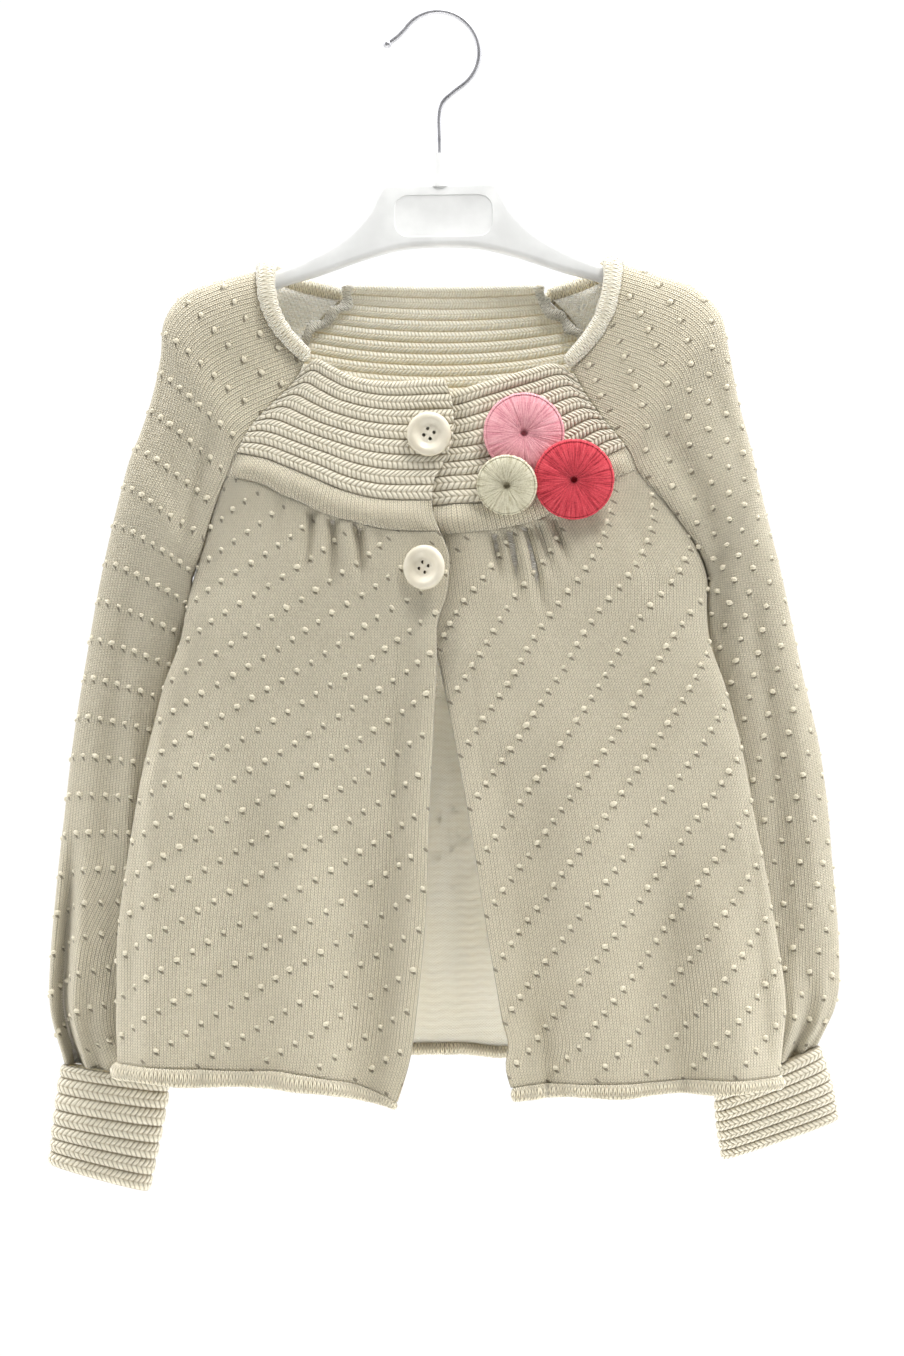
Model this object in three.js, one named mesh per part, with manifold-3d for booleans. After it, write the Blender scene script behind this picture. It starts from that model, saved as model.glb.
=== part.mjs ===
// A baby cardigan in cream knit, hung on a plastic hanger with a wire hook.
// Millimetres. +Z is up, -Y is the front, +X is the wearer's left.
// The origin is the inner top of the hook, where a rail carries it.
import * as THREE from "three";
import { mergeVertices } from "three/addons/utils/BufferGeometryUtils.js";
import Module from "manifold-3d";

// Driving sizes of the cloth
const CLOTH = 2.2; // thickness of the knitted wall
const SEAM = 0.3; // gap between two pieces that are sewn together
const SIDE_SEAM = 0.65; // the same gap along the slanting raglan seams, measured level
const YOKE_WELTS = 8; // raised welts between neckline and chest band
const YOKE_WELT_HIGH = 1.0;
const CUFF_WELTS = 7;
const CUFF_WELT_HIGH = 0.9;
const BAND_HIGH = 1.4; // how far the chest band puffs out
const ARMPIT = -282; // height of both armpits
const TUCK_END = -330; // height below which a sleeve lies behind the body's edge
const UNDER_LAP = 4.4; // how far the wearer's left front lies behind the right one
const SIDE_FOLD = 5.5; // how far the back swells behind the side fold, in front of the sleeve
const TUCK_WIDTH = 72; // width over which the back swells out beside a sleeve
const SECTION_POWER = 3.4; // how square the body's sections are at their sides
const SLEEVE_POWER = 2.6; // the same for a sleeve

// Driving sizes of the hanger
const HANGER_THICK = 11;
const HANGER_BEVEL = 3;
const HANGER_TILT = -0.014; // the wearer's left end sits a little higher
const WIRE_R = 1.4;
const HOOK_R = 20.4; // radius of the hook's wire line
const BOSS_TOP = -74;
const BOSS_FOOT = -85;
const WIRE_END = -83;

// Driving sizes of the trims
const BUTTON_R = 11;
const BUTTON_THICK = 4.6;
const BUTTON_HOLE_R = 0.9;
const BUTTON_HOLE_AT = 2.7;

const COLOURS = {
  knit: [0xd5cdb6, 0.95],
  rib: [0xd8d0ba, 0.95],
  button: [0xe2ddcd, 0.4],
  pink: [0xe0a4b0, 0.9],
  coral: [0xd8505c, 0.9],
  cream: [0xd8d4bd, 0.9],
  plastic: [0xf4f4f1, 0.35],
  wire: [0xb8b8ba, 0.25],
};

const lerp = THREE.MathUtils.lerp;
const clamp = THREE.MathUtils.clamp;
const smooth = THREE.MathUtils.smoothstep;

// Reads a table whose first column rises or falls: at(key, column) follows a smooth line through its rows.
function table(columns, rows) {
  const keys = rows.map((row) => row[0]);
  const turn = keys.at(-1) > keys[0] ? 1 : -1;
  const slope = (i, c) => {
    const a = Math.max(i - 1, 0);
    const b = Math.min(i + 1, rows.length - 1);
    return (rows[b][c] - rows[a][c]) / (keys[b] - keys[a]);
  };
  return (key, column) => {
    const c = columns.indexOf(column);
    let i = keys.findIndex((k) => turn * (k - key) > 0) - 1;
    if (i === -2) i = rows.length - 2;
    i = clamp(i, 0, rows.length - 2);
    const step = keys[i + 1] - keys[i];
    const t = clamp((key - keys[i]) / step, 0, 1);
    const bend = t * t * (3 - 2 * t);
    const leave = slope(i, c) * step * t * (1 - t) * (1 - t);
    const arrive = slope(i + 1, c) * step * t * t * (1 - t);
    return rows[i][c] + (rows[i + 1][c] - rows[i][c]) * bend + leave - arrive;
  };
}

// The outer edge of each front: the raglan seam down to the armpit, and the side fold below it
const FRONT_EDGE = {
  right: table(["z", "x", "y"], [
    [-168, -64, -12],
    [-184, -71.5, -12.5],
    [-196, -83, -12.8],
    [-207, -93.5, -12.8],
    [-220, -100.5, -12.5],
    [-232, -106, -12],
    [-248, -112, -10],
    [-266, -117.5, -6.5],
    [-282, -123, 0],
    [-298, -126.5, -4.5],
    [-314, -129, -7],
    [-336, -137, -9.5],
    [-380, -148, -9.5],
    [-422, -155, -9.5],
    [-461, -160, -9.5],
    [-500, -160.5, -9.5],
    [-545, -160, -9.5],
  ]),
  left: table(["z", "x", "y"], [
    [-168, 58, -12],
    [-179, 65, -12.5],
    [-193, 73, -12.8],
    [-202, 79.5, -12.8],
    [-219, 93, -12.5],
    [-230, 98, -12],
    [-240, 107.5, -11],
    [-254, 119, -8.5],
    [-266, 127, -5],
    [-282, 133.5, 0],
    [-298, 132, -4.5],
    [-314, 134.5, -7],
    [-336, 141.5, -9.5],
    [-366, 150, -9.5],
    [-404, 157, -9.5],
    [-461, 167.5, -9.5],
    [-493, 171.5, -9.5],
    [-514, 170, -9.5],
    [-545, 167.5, -9.5],
  ]),
};

// The back's raglan seams. Below the armpit the back ends at the same side folds
const BACK_RAGLAN = {
  right: table(["z", "x", "y"], [
    [-133, -45.5, 12],
    [-141, -48, 12.3],
    [-150, -57, 12.6],
    [-160, -67, 12.8],
    [-180, -81.5, 12.8],
    [-200, -92, 12.6],
    [-220, -101, 12],
    [-240, -109, 10],
    [-262, -116.5, 6.5],
    [-282, -123, 0],
  ]),
  left: table(["z", "x", "y"], [
    [-133, 50.5, 12],
    [-141, 54, 12.3],
    [-150, 63, 12.6],
    [-160, 70.5, 12.8],
    [-180, 81.5, 12.8],
    [-200, 91.5, 12.6],
    [-220, 102, 12],
    [-240, 112.5, 10],
    [-262, 124, 6],
    [-282, 133.5, 0],
  ]),
};

// The edge of each front at the centre. The wearer's right front lies over the left one
const OPENING = {
  right: table(["z", "x"], [
    [-168, 0],
    [-184, 2.5],
    [-195, 6],
    [-212, 6.4],
    [-226, 1.5],
    [-234, -2.9],
    [-243, -3.9],
    [-252, -2.9],
    [-261, 0.8],
    [-271, 4.5],
    [-282, 4.5],
    [-292, 3],
    [-305, -1.2],
    [-322, -1.4],
    [-354, -2.9],
    [-404, -5.3],
    [-449, -6.8],
    [-494, -11.2],
    [-521, -15.2],
    [-545, -23.5],
  ]),
  left: table(["z", "x"], [
    [-168, -15],
    [-240, -15],
    [-290, -11],
    [-310, -5],
    [-322, -1],
    [-339, 2.5],
    [-366, 8],
    [-410, 15.9],
    [-457, 23.3],
    [-498, 30.6],
    [-512, 34],
    [-524, 32.5],
    [-545, 39.5],
  ]),
};

// How far the middle of the front and of the back lie from the hanger's plane
const MIDDLE = table(["z", "front", "back"], [
  [-134, -12.5, 12.5],
  [-176, -15.5, 15],
  [-220, -18, 17],
  [-282, -20.5, 20],
  [-350, -22.5, 26],
  [-450, -27, 36],
  [-545, -31, 44],
]);

// Heights of the level lines across each front, from the centre edge, 0, to the outer edge, 1
const LINES = {
  right: {
    neck: table(["s", "z"], [
      [0, -183.6],
      [0.15, -184.2],
      [0.4, -185],
      [0.62, -182.3],
      [0.8, -177],
      [0.93, -173.6],
      [1, -179],
    ]),
    bandTop: table(["s", "z"], [
      [0, -244],
      [0.165, -244],
      [0.275, -243],
      [0.425, -239],
      [0.585, -232.7],
      [0.766, -226.2],
      [0.85, -223.3],
      [1, -220.2],
    ]),
    bandFoot: table(["s", "z"], [
      [0, -260],
      [0.227, -258.4],
      [0.344, -255.4],
      [0.514, -250],
      [0.596, -245.5],
      [0.71, -241],
      [0.8, -236.5],
      [0.91, -233.7],
      [1, -232.5],
    ]),
    hem: table(["s", "z"], [
      [0, -540],
      [0.07, -536.5],
      [0.17, -531.5],
      [0.245, -529],
      [0.35, -526.5],
      [0.457, -525],
      [0.56, -525.5],
      [0.77, -524],
      [1, -522.5],
    ]),
  },
  left: {
    neck: table(["s", "z"], [
      [0, -192],
      [0.265, -189.4],
      [0.45, -185],
      [0.73, -179],
      [0.93, -176],
      [1, -181.5],
    ]),
    bandTop: table(["s", "z"], [
      [0, -248],
      [0.167, -246],
      [0.295, -245],
      [0.49, -240],
      [0.71, -231.5],
      [0.906, -221.5],
      [1, -217.5],
    ]),
    bandFoot: table(["s", "z"], [
      [0, -261.5],
      [0.117, -260.8],
      [0.29, -258.8],
      [0.45, -254.5],
      [0.635, -245.5],
      [0.868, -234],
      [1, -229],
    ]),
    hem: table(["s", "z"], [
      [0, -533],
      [0.1, -532],
      [0.5, -530.5],
      [1, -529],
    ]),
  },
};

// The same across the back, from the right side, 0, to the left side, 1
const BACK_LINES = {
  neck: table(["s", "z"], [
    [0, -134],
    [0.5, -135],
    [1, -134],
  ]),
  bandTop: table(["s", "z"], [
    [0, -219],
    [0.25, -232],
    [0.5, -236],
    [0.75, -231],
    [1, -217],
  ]),
  bandFoot: table(["s", "z"], [
    [0, -232.5],
    [0.25, -246],
    [0.5, -251],
    [0.75, -245],
    [1, -229],
  ]),
  hem: table(["s", "z"], [
    [0, -522.5],
    [0.2, -521],
    [0.5, -518],
    [0.58, -521],
    [0.65, -518],
    [0.8, -522],
    [1, -529],
  ]),
};

// Gathers under the chest bands and the main folds, each a soft groove (depth below 0) or ridge.
// A fold runs from (x0, z0) down to (x1, z1) and is `wide` each side. It grows over the length
// `rise` below its top, and dies away over the length `fall` above its foot
const FOLD_COLUMNS = ["x0", "z0", "x1", "z1", "wide", "depth", "rise", "fall"];
const FOLDS = {
  front_right: [
    [-78, -243, -82, -275, 3.0, -1.3, 5, 20],
    [-63, -248, -67, -290, 3.2, -1.9, 5, 26],
    [-58, -250, -60, -292, 3.2, 0.7, 5, 26],
    [-53, -252, -54, -296, 3.2, -2.0, 5, 28],
    [-46.5, -255, -46, -290, 3.4, 0.9, 5, 24],
    [-40.5, -256, -38, -292, 3.2, -2.4, 5, 26],
    [-31, -258, -28, -280, 3.2, -1.2, 5, 18],
    [-20, -330, -30, -545, 7, -1.8, 60, 0],
    [-33, -400, -39, -545, 12, -3.4, 70, 0],
    [-62, -380, -66, -545, 16, 2.6, 80, 0],
    [-92, -330, -98, -545, 15, -2.6, 90, 0],
    [-122, -330, -137, -545, 13, 2.6, 70, 0],
  ],
  front_left: [
    [27, -259, 30, -290, 3.2, -2.2, 5, 22],
    [34.6, -258, 40, -296, 3.2, -2.4, 5, 26],
    [38.6, -257, 47, -292, 3.0, 1.4, 5, 24],
    [42.5, -256, 54, -310, 3.4, -2.4, 5, 34],
    [48.5, -254, 58, -288, 3.2, -1.9, 5, 22],
    [55.4, -251, 66, -282, 3.2, -1.6, 5, 20],
    [70, -244, 78, -270, 3.2, -1.1, 5, 16],
    [25, -340, 50, -545, 7, -1.8, 60, 0],
    [42, -350, 59, -545, 12, -3.2, 80, 0],
    [75, -330, 87, -545, 16, 2.6, 90, 0],
    [112, -410, 121, -545, 11, -4, 60, 0],
    [136, -420, 148, -545, 12, 3.4, 60, 0],
  ],
  back: [
    [-52, -247, -56, -290, 3.4, -2.3, 5, 26],
    [-43, -249, -45, -288, 3.4, -1.7, 5, 22],
    [-34, -250, -35, -298, 3.4, -2.4, 5, 30],
    [-24, -251, -25, -286, 3.4, -1.5, 5, 20],
    [26, -251, 27, -288, 3.4, -1.6, 5, 22],
    [36, -250, 38, -298, 3.4, -2.4, 5, 30],
    [45, -249, 48, -290, 3.4, -1.8, 5, 24],
    [54, -246, 59, -286, 3.4, -2.2, 5, 24],
    [-88, -320, -103, -545, 15, -3.2, 80, 0],
    [-48, -340, -57, -545, 15, 3.4, 90, 0],
    [-14, -380, -18, -545, 12, -3.2, 80, 0],
    [3, -330, 3, -545, 9, -3, 60, 0],
    [24, -370, 28, -545, 13, 2.8, 80, 0],
    [62, -340, 71, -545, 14, -3.4, 90, 0],
    [104, -340, 117, -545, 15, 3, 80, 0],
  ],
};

function foldDepth(piece, x, z) {
  let sum = 0;
  for (const row of FOLDS[piece]) {
    const fold = Object.fromEntries(FOLD_COLUMNS.map((name, i) => [name, row[i]]));
    const along = (z - fold.z0) / (fold.z1 - fold.z0);
    const off = (x - lerp(fold.x0, fold.x1, clamp(along, 0, 1))) / fold.wide;
    const grown = smooth(fold.z0 - z, 0, fold.rise);
    const left = fold.fall ? smooth(z - fold.z1, 0, fold.fall) : 1;
    sum += fold.depth * grown * left * Math.exp(-off * off);
  }
  return sum;
}

// Half the gap at the side seams, where front and back meet on the fold below the armpit
const sideGap = (z) => (SIDE_SEAM / 2) * smooth(-z, -ARMPIT - 4, -ARMPIT);

// Depth of a section from its middle, 1, to its edge, 0: round at a side fold, flat at a raglan seam
function sectionDepth(rho, z) {
  const round = Math.pow(Math.max(0, 1 - Math.pow(rho, SECTION_POWER)), 1 / SECTION_POWER);
  const flat = 1 - Math.pow(rho, 3);
  return lerp(round, flat, smooth(z, ARMPIT, ARMPIT + 40));
}

// A piece of the front at height z: s runs from the centre edge to the outer edge
function frontAt(side, s, z) {
  const x0 = OPENING[side](z, "x");
  const x1 = FRONT_EDGE[side](z, "x");
  const yEdge = FRONT_EDGE[side](z, "y");
  const yMiddle = MIDDLE(z, "front");
  const x = lerp(x0, x1, s);
  const round = sectionDepth(s, z);
  let y = yEdge - sideGap(z) + (yMiddle - yEdge) * round;
  if (side === "left") {
    const lapEdge = OPENING.right(z, "x");
    const under = 1 - smooth(x, lapEdge - 2, lapEdge + 13);
    const upper = smooth(z, -380, -330);
    y += UNDER_LAP * under * lerp(0.35, 1, upper);
  }
  const belowSeam = 1 - smooth(s, 0.96, 1);
  y -= foldDepth("front_" + side, x, z) * belowSeam;
  return new THREE.Vector3(x, y, z);
}

// The back at height z: s runs from the right side to the left side
function backAt(s, z) {
  const edge = z > ARMPIT ? BACK_RAGLAN : FRONT_EDGE;
  const xRight = edge.right(z, "x");
  const xLeft = edge.left(z, "x");
  const x = lerp(xRight, xLeft, s);
  const side = s < 0.5 ? "right" : "left";
  const yEdge = edge[side](z, "y");
  const yMiddle = MIDDLE(z, "back");
  const rho = Math.abs(2 * s - 1);
  const plain = sectionDepth(rho, z);
  const sleeveInner = Math.abs(SLEEVES[side](9, "inX")) - 4;
  const swell = 1 - smooth(Math.abs(x), sleeveInner - TUCK_WIDTH, sleeveInner);
  const sideShare = SIDE_FOLD / (yMiddle - yEdge);
  const fold = Math.pow(Math.max(0, 1 - Math.pow(rho, 16)), 1 / 4);
  const tucked = sideShare * fold + (1 - sideShare) * swell;
  const share = lerp(tucked, plain, smooth(z, TUCK_END, ARMPIT));
  const inside = 1 - smooth(rho, 0.94, 1);
  const y = yEdge + sideGap(z) + (yMiddle - yEdge) * share + foldDepth("back", x, z) * inside;
  return new THREE.Vector3(x, y, z);
}

// Sleeve sections, one a row, from the neck to the gathers above the cuff. Rows 0 to 7 are an
// open strip over the shoulder, from the front raglan seam at frontZ to the back one at backZ.
// Later rows are a closed tube, whose inner fold is (inX, inZ) and outer fold (outX, outZ).
// `mid` is the y of its middle and `half` its half depth
const STRIP_END = 7;
const TUBE_END = 13;
const SLEEVE_COLUMNS = ["row", "frontZ", "backZ", "inX", "inZ", "outX", "outZ", "mid", "half"];
const SLEEVES = {
  right: table(SLEEVE_COLUMNS, [
    [0, -175.5, -142.5, 0, 0, -91.6, -128.9, 0, 14],
    [1, -190, -159, 0, 0, -109.7, -133.6, 0, 14],
    [2, -204, -178, 0, 0, -127.5, -140.4, 0, 12.5],
    [3, -218, -200, 0, 0, -137.5, -153.5, 0, 13.5],
    [4, -232, -222, 0, 0, -139.5, -172.5, 0, 13.5],
    [5, -248, -243, 0, 0, -143.5, -191, 0, 13.5],
    [6, -265, -263, -118.4, -246, -149.5, -209.5, 0, 14],
    [7, -282, -282, -123.65, -282, -156.5, -228, 0, 14.5],
    [8, -282, -282, -128.5, -318, -168, -272, 6.5, 14.5],
    [9, -282, -282, -134, -355, -177, -316, 12, 16],
    [10, -282, -282, -132, -400, -185.5, -366, 15.5, 16],
    [11, -282, -282, -130, -445, -191.5, -420, 15.5, 16.5],
    [12, -282, -282, -130, -490, -196.5, -473, 15.5, 17],
    [12.6, -282, -282, -131.5, -513, -196.5, -500, 15, 16.5],
    [13, -282, -282, -138.5, -533, -189.5, -526, 14, 9],
  ]),
  left: table(SLEEVE_COLUMNS, [
    [0, -178.5, -142.5, 0, 0, 91.4, -125.6, 0, 14],
    [1, -192, -159, 0, 0, 109, -130.6, 0, 14],
    [2, -205, -178, 0, 0, 127.5, -137.4, 0, 12.5],
    [3, -218, -200, 0, 0, 140, -150, 0, 13.5],
    [4, -232, -222, 0, 0, 144.5, -169, 0, 13.5],
    [5, -248, -243, 0, 0, 148.8, -191, 0, 13.5],
    [6, -265, -263, 133.9, -246, 154.5, -214, 0, 14],
    [7, -282, -282, 134.15, -282, 160.5, -240, 0, 14.5],
    [8, -282, -282, 134, -318, 171.5, -282, 6.5, 14.5],
    [9, -282, -282, 137, -355, 181.5, -326, 12, 16],
    [10, -282, -282, 135, -400, 192, -372, 15.5, 16],
    [11, -282, -282, 134, -445, 198, -424, 15.5, 16.5],
    [12, -282, -282, 134, -492, 201.5, -476, 15.5, 17],
    [12.6, -282, -282, 136, -517, 199.5, -497, 15, 16.5],
    [13, -282, -282, 140, -539, 190.5, -516.5, 14, 9],
  ]),
};

// Pleats of each sleeve's fullness above the cuff, and its long creases. `at` is the place round
// the tube, from the inner fold by the front, 0, to the outer fold, 0.5, and back behind, 1.
// A pleat starts at a row of the sleeve's table and is deepest at the cuff
const PLEATS = {
  right: [
    { at: 0.14, fromRow: 12.3, wide: 0.028, deep: -1.8 },
    { at: 0.23, fromRow: 12.2, wide: 0.026, deep: -2.2 },
    { at: 0.325, fromRow: 11.8, wide: 0.028, deep: -3.4 },
    { at: 0.415, fromRow: 9.8, wide: 0.034, deep: -5.2 },
    { at: 0.585, fromRow: 11.6, wide: 0.03, deep: -3.4 },
    { at: 0.67, fromRow: 12.1, wide: 0.028, deep: -2.6 },
    { at: 0.77, fromRow: 12, wide: 0.028, deep: -2.4 },
    { at: 0.88, fromRow: 12.3, wide: 0.028, deep: -1.8 },
  ],
  left: [
    { at: 0.13, fromRow: 12.3, wide: 0.028, deep: -1.8 },
    { at: 0.24, fromRow: 12.1, wide: 0.028, deep: -2.2 },
    { at: 0.35, fromRow: 11.7, wide: 0.03, deep: -3.8 },
    { at: 0.44, fromRow: 11.4, wide: 0.03, deep: -3.6 },
    { at: 0.59, fromRow: 11.8, wide: 0.03, deep: -3.2 },
    { at: 0.68, fromRow: 12, wide: 0.028, deep: -2.6 },
    { at: 0.78, fromRow: 12.1, wide: 0.028, deep: -2.4 },
    { at: 0.88, fromRow: 12.3, wide: 0.028, deep: -1.8 },
  ],
};
// The sleeve folds back beside the raglan seam, from the shoulder to just under the armpit
const SHOULDER_CREASE = { at: 0.13, wide: 0.05, deep: -3.6, rows: [2.5, 5, 7, 9] };

function pleatDepth(side, row, v) {
  let sum = 0;
  for (const { at, fromRow, wide, deep } of PLEATS[side]) {
    const off = (v - at) / wide;
    sum += deep * smooth(row, fromRow, 12.85) * Math.exp(-off * off);
  }
  const { at, wide, deep, rows } = SHOULDER_CREASE;
  const off = (v - at) / wide;
  const shoulder = smooth(row, rows[0], rows[1]) * (1 - smooth(row, rows[2], rows[3]));
  return sum + deep * shoulder * Math.exp(-off * off);
}

// One quarter-turn pair of a sleeve's section: from the outer fold, turn 0, to the seam, turn 1
function sectionPoint(from, to, turn, mid, half, endDepth, way) {
  const angle = turn * Math.PI;
  const cos = Math.cos(angle);
  const across = Math.sign(cos) * Math.pow(Math.abs(cos), 2 / SLEEVE_POWER);
  const deep = Math.pow(Math.abs(Math.sin(angle)), 2 / SLEEVE_POWER);
  const share = (1 - across) / 2;
  const depth = turn < 0.5 ? half * deep : lerp(endDepth, half, deep);
  const centre = from.clone().lerp(to, share);
  return new THREE.Vector3(centre.x, mid + way * depth, centre.z);
}

// The sleeve's skin: row runs down the sleeve and v round it, from the front seam to the back one
const RING_STEPS = 40;
function sleeveRing(side, row) {
  const at = (name) => SLEEVES[side](row, name);
  const out = new THREE.Vector3(at("outX"), 0, at("outZ"));
  const way = side === "right" ? -1 : 1;
  const open = row < STRIP_END;
  const ends = { front: {}, back: {} };
  for (const [face, edge, z] of [
    ["front", FRONT_EDGE[side], at("frontZ")],
    ["back", BACK_RAGLAN[side], at("backZ")],
  ]) {
    ends[face].point = open
      ? new THREE.Vector3(edge(z, "x") + way * SIDE_SEAM, 0, z)
      : new THREE.Vector3(at("inX"), 0, at("inZ"));
    ends[face].depth = open ? Math.abs(edge(z, "y")) : 0;
  }
  const ring = [];
  for (let i = 0; i <= RING_STEPS; i++) {
    const turn = 1 - i / RING_STEPS;
    const f = ends.front;
    ring.push(sectionPoint(out, f.point, turn, at("mid"), at("half"), f.depth, -1));
  }
  for (let i = 1; i <= RING_STEPS; i++) {
    const b = ends.back;
    ring.push(sectionPoint(out, b.point, i / RING_STEPS, at("mid"), at("half"), b.depth, 1));
  }
  return ring;
}

// Points evenly spaced along each half of a ring
const rings = new Map();
function sleeveAt(side, row, v) {
  const key = side + row.toFixed(4);
  if (!rings.has(key)) {
    const ring = sleeveRing(side, row);
    const half = (points) => new EvenLine(points);
    rings.set(key, [half(ring.slice(0, RING_STEPS + 1)), half(ring.slice(RING_STEPS))]);
  }
  const [front, back] = rings.get(key);
  return v <= 0.5 ? front.at(v * 2) : back.at(v * 2 - 1);
}

class EvenLine {
  constructor(points) {
    this.points = points;
    this.lengths = [0];
    for (let i = 1; i < points.length; i++) {
      this.lengths.push(this.lengths[i - 1] + points[i].distanceTo(points[i - 1]));
    }
  }
  at(share) {
    const target = clamp(share, 0, 1) * this.lengths.at(-1);
    let i = this.lengths.findIndex((length) => length >= target);
    i = clamp(i, 1, this.points.length - 1);
    const t = (target - this.lengths[i - 1]) / (this.lengths[i] - this.lengths[i - 1] || 1);
    return this.points[i - 1].clone().lerp(this.points[i], t);
  }
}

// Cuffs: a tube from top to bottom, with inner and outer folds, the y of its middle and half depth
const CUFF_COLUMNS = ["down", "inX", "inZ", "outX", "outZ", "mid", "half"];
const CUFFS = {
  right: table(CUFF_COLUMNS, [
    [0, -138.5, -533.6, -189.5, -526.6, 14, 9],
    [0.12, -137.5, -539, -190.8, -531.5, 14, 9.5],
    [0.5, -141.5, -562, -194, -553, 14.5, 9.5],
    [1, -147.5, -590.5, -196.6, -577, 15, 9],
  ]),
  left: table(CUFF_COLUMNS, [
    [0, 140, -539.9, 190.5, -517.4, 14, 9],
    [0.12, 139.5, -544.5, 192.5, -522, 15.5, 9.5],
    [0.5, 141, -559, 198, -538, 22, 9.5],
    [1, 144.5, -577, 202, -557, 31, 9],
  ]),
};

function cuffAt(side, down, v) {
  const at = (name) => CUFFS[side](down, name);
  const angle = v * 2 * Math.PI;
  const power = 2 / SLEEVE_POWER;
  const across = Math.sign(Math.cos(angle)) * Math.pow(Math.abs(Math.cos(angle)), power);
  const deep = Math.sign(Math.sin(angle)) * Math.pow(Math.abs(Math.sin(angle)), power);
  const share = (1 - across) / 2;
  return new THREE.Vector3(
    lerp(at("inX"), at("outX"), share),
    at("mid") - at("half") * deep,
    lerp(at("inZ"), at("outZ"), share),
  );
}

// Builds one closed wall over a skin. point(u, v) is the plain outer skin, relief(u, v) raises
// it, and the inside lies CLOTH below it, with one row to each `coarse` rows outside. From row
// closedFrom on, the last column is the first
function wall(spec) {
  const { us, vs, point, flip = false, relief = () => 0, step = 1e-3 } = spec;
  const { closedFrom = Infinity, coarse = 1 } = spec;
  const rowEnds = us.length - 1;
  const columnEnds = vs.length - 1;
  const positions = [];
  const outer = [];
  const inner = [];
  const isClosed = (i) => i >= closedFrom;
  const normalAt = (u, v, closed) => {
    const u0 = Math.max(u - step, us[0]);
    const u1 = Math.min(u + step, us[rowEnds]);
    const wrap = (value) => (closed ? (value + 1) % 1 : clamp(value, 0, 1));
    const along = point(u1, v).sub(point(u0, v));
    const across = point(u, wrap(v + step)).sub(point(u, wrap(v - step)));
    return along.cross(across).multiplyScalar(flip ? -1 : 1).normalize();
  };
  for (let i = 0; i <= rowEnds; i++) {
    outer.push([]);
    inner.push([]);
    for (let j = 0; j <= columnEnds; j++) {
      if (isClosed(i) && j === columnEnds) {
        outer[i].push(outer[i][0]);
        if (i % coarse === 0) inner[i].push(inner[i][0]);
        continue;
      }
      const p = point(us[i], vs[j]);
      const n = normalAt(us[i], vs[j], isClosed(i));
      outer[i].push(positions.length / 3);
      positions.push(...p.clone().addScaledVector(n, relief(us[i], vs[j])).toArray());
      if (i % coarse) continue;
      inner[i].push(positions.length / 3);
      positions.push(...p.clone().addScaledVector(n, -CLOTH).toArray());
    }
  }
  const faces = [];
  const fan = (...corners) => {
    if (flip) corners.reverse();
    for (let k = 2; k < corners.length; k++) faces.push(corners[0], corners[k - 1], corners[k]);
  };
  const last = columnEnds;
  for (let i = 0; i < rowEnds; i++) {
    for (let j = 0; j < columnEnds; j++) {
      fan(outer[i][j], outer[i + 1][j], outer[i + 1][j + 1], outer[i][j + 1]);
    }
  }
  for (let i = 0; i < rowEnds; i += coarse) {
    const next = i + coarse;
    for (let j = 0; j < columnEnds; j++) {
      fan(inner[i][j + 1], inner[next][j + 1], inner[next][j], inner[i][j]);
    }
    if (i >= closedFrom) continue;
    const rows = outer.slice(i, next + 1);
    fan(inner[i][0], inner[next][0], ...rows.map((row) => row[0]).reverse());
    fan(inner[next][last], inner[i][last], ...rows.map((row) => row[last]));
  }
  for (let j = 0; j < columnEnds; j++) {
    fan(inner[0][j + 1], inner[0][j], outer[0][j], outer[0][j + 1]);
    const i = rowEnds;
    fan(inner[i][j], inner[i][j + 1], outer[i][j + 1], outer[i][j]);
  }
  const geometry = new THREE.BufferGeometry();
  geometry.setAttribute("position", new THREE.Float32BufferAttribute(positions, 3));
  geometry.setIndex(faces);
  return geometry;
}

// n + 1 places from 0 to 1, closer together where weight(place) is high
function spread(n, weight = () => 1) {
  const fine = 400;
  const sums = [0];
  for (let i = 0; i < fine; i++) {
    sums.push(sums[i] + weight((i + 0.5) / fine));
  }
  const places = [];
  for (let k = 0; k <= n; k++) {
    const target = (k / n) * sums[fine];
    let i = sums.findIndex((sum) => sum >= target);
    i = Math.max(i, 1);
    places.push((i - 1 + (target - sums[i - 1]) / (sums[i] - sums[i - 1])) / fine);
  }
  places[0] = 0;
  places[n] = 1;
  return places;
}

// The same places with each step between `from` and `to` cut into `parts`, and the others into two
function refine(places, from, to, parts) {
  const made = [places[0]];
  for (let i = 1; i < places.length; i++) {
    const middle = (places[i - 1] + places[i]) / 2;
    const count = middle > from && middle < to ? parts : 2;
    for (let k = 1; k <= count; k++) made.push(lerp(places[i - 1], places[i], k / count));
  }
  return made;
}

// A closed tube along a line of points, with an oval section of `sides` corners.
// frame(i) gives the directions of its half width and half thickness
function tube(points, frame, sizes, sides) {
  const positions = [];
  points.forEach((p, i) => {
    const { wide, thick } = frame(i);
    for (let k = 0; k < sides; k++) {
      const angle = (2 * Math.PI * k) / sides;
      const q = p.clone();
      q.addScaledVector(wide, sizes(i).wide * Math.cos(angle));
      q.addScaledVector(thick, sizes(i).thick * Math.sin(angle));
      positions.push(...q.toArray());
    }
  });
  const caps = positions.length / 3;
  positions.push(...points[0].toArray(), ...points.at(-1).toArray());
  const faces = [];
  const last = (points.length - 1) * sides;
  for (let k = 0; k < sides; k++) {
    const next = (k + 1) % sides;
    for (let i = 0; i < points.length - 1; i++) {
      const a = i * sides;
      const b = a + sides;
      faces.push(a + k, a + next, b + next, a + k, b + next, b + k);
    }
    faces.push(caps, next, k, caps + 1, last + k, last + next);
  }
  const geometry = new THREE.BufferGeometry();
  geometry.setAttribute("position", new THREE.Float32BufferAttribute(positions, 3));
  geometry.setIndex(faces);
  return outward(geometry);
}

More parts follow.
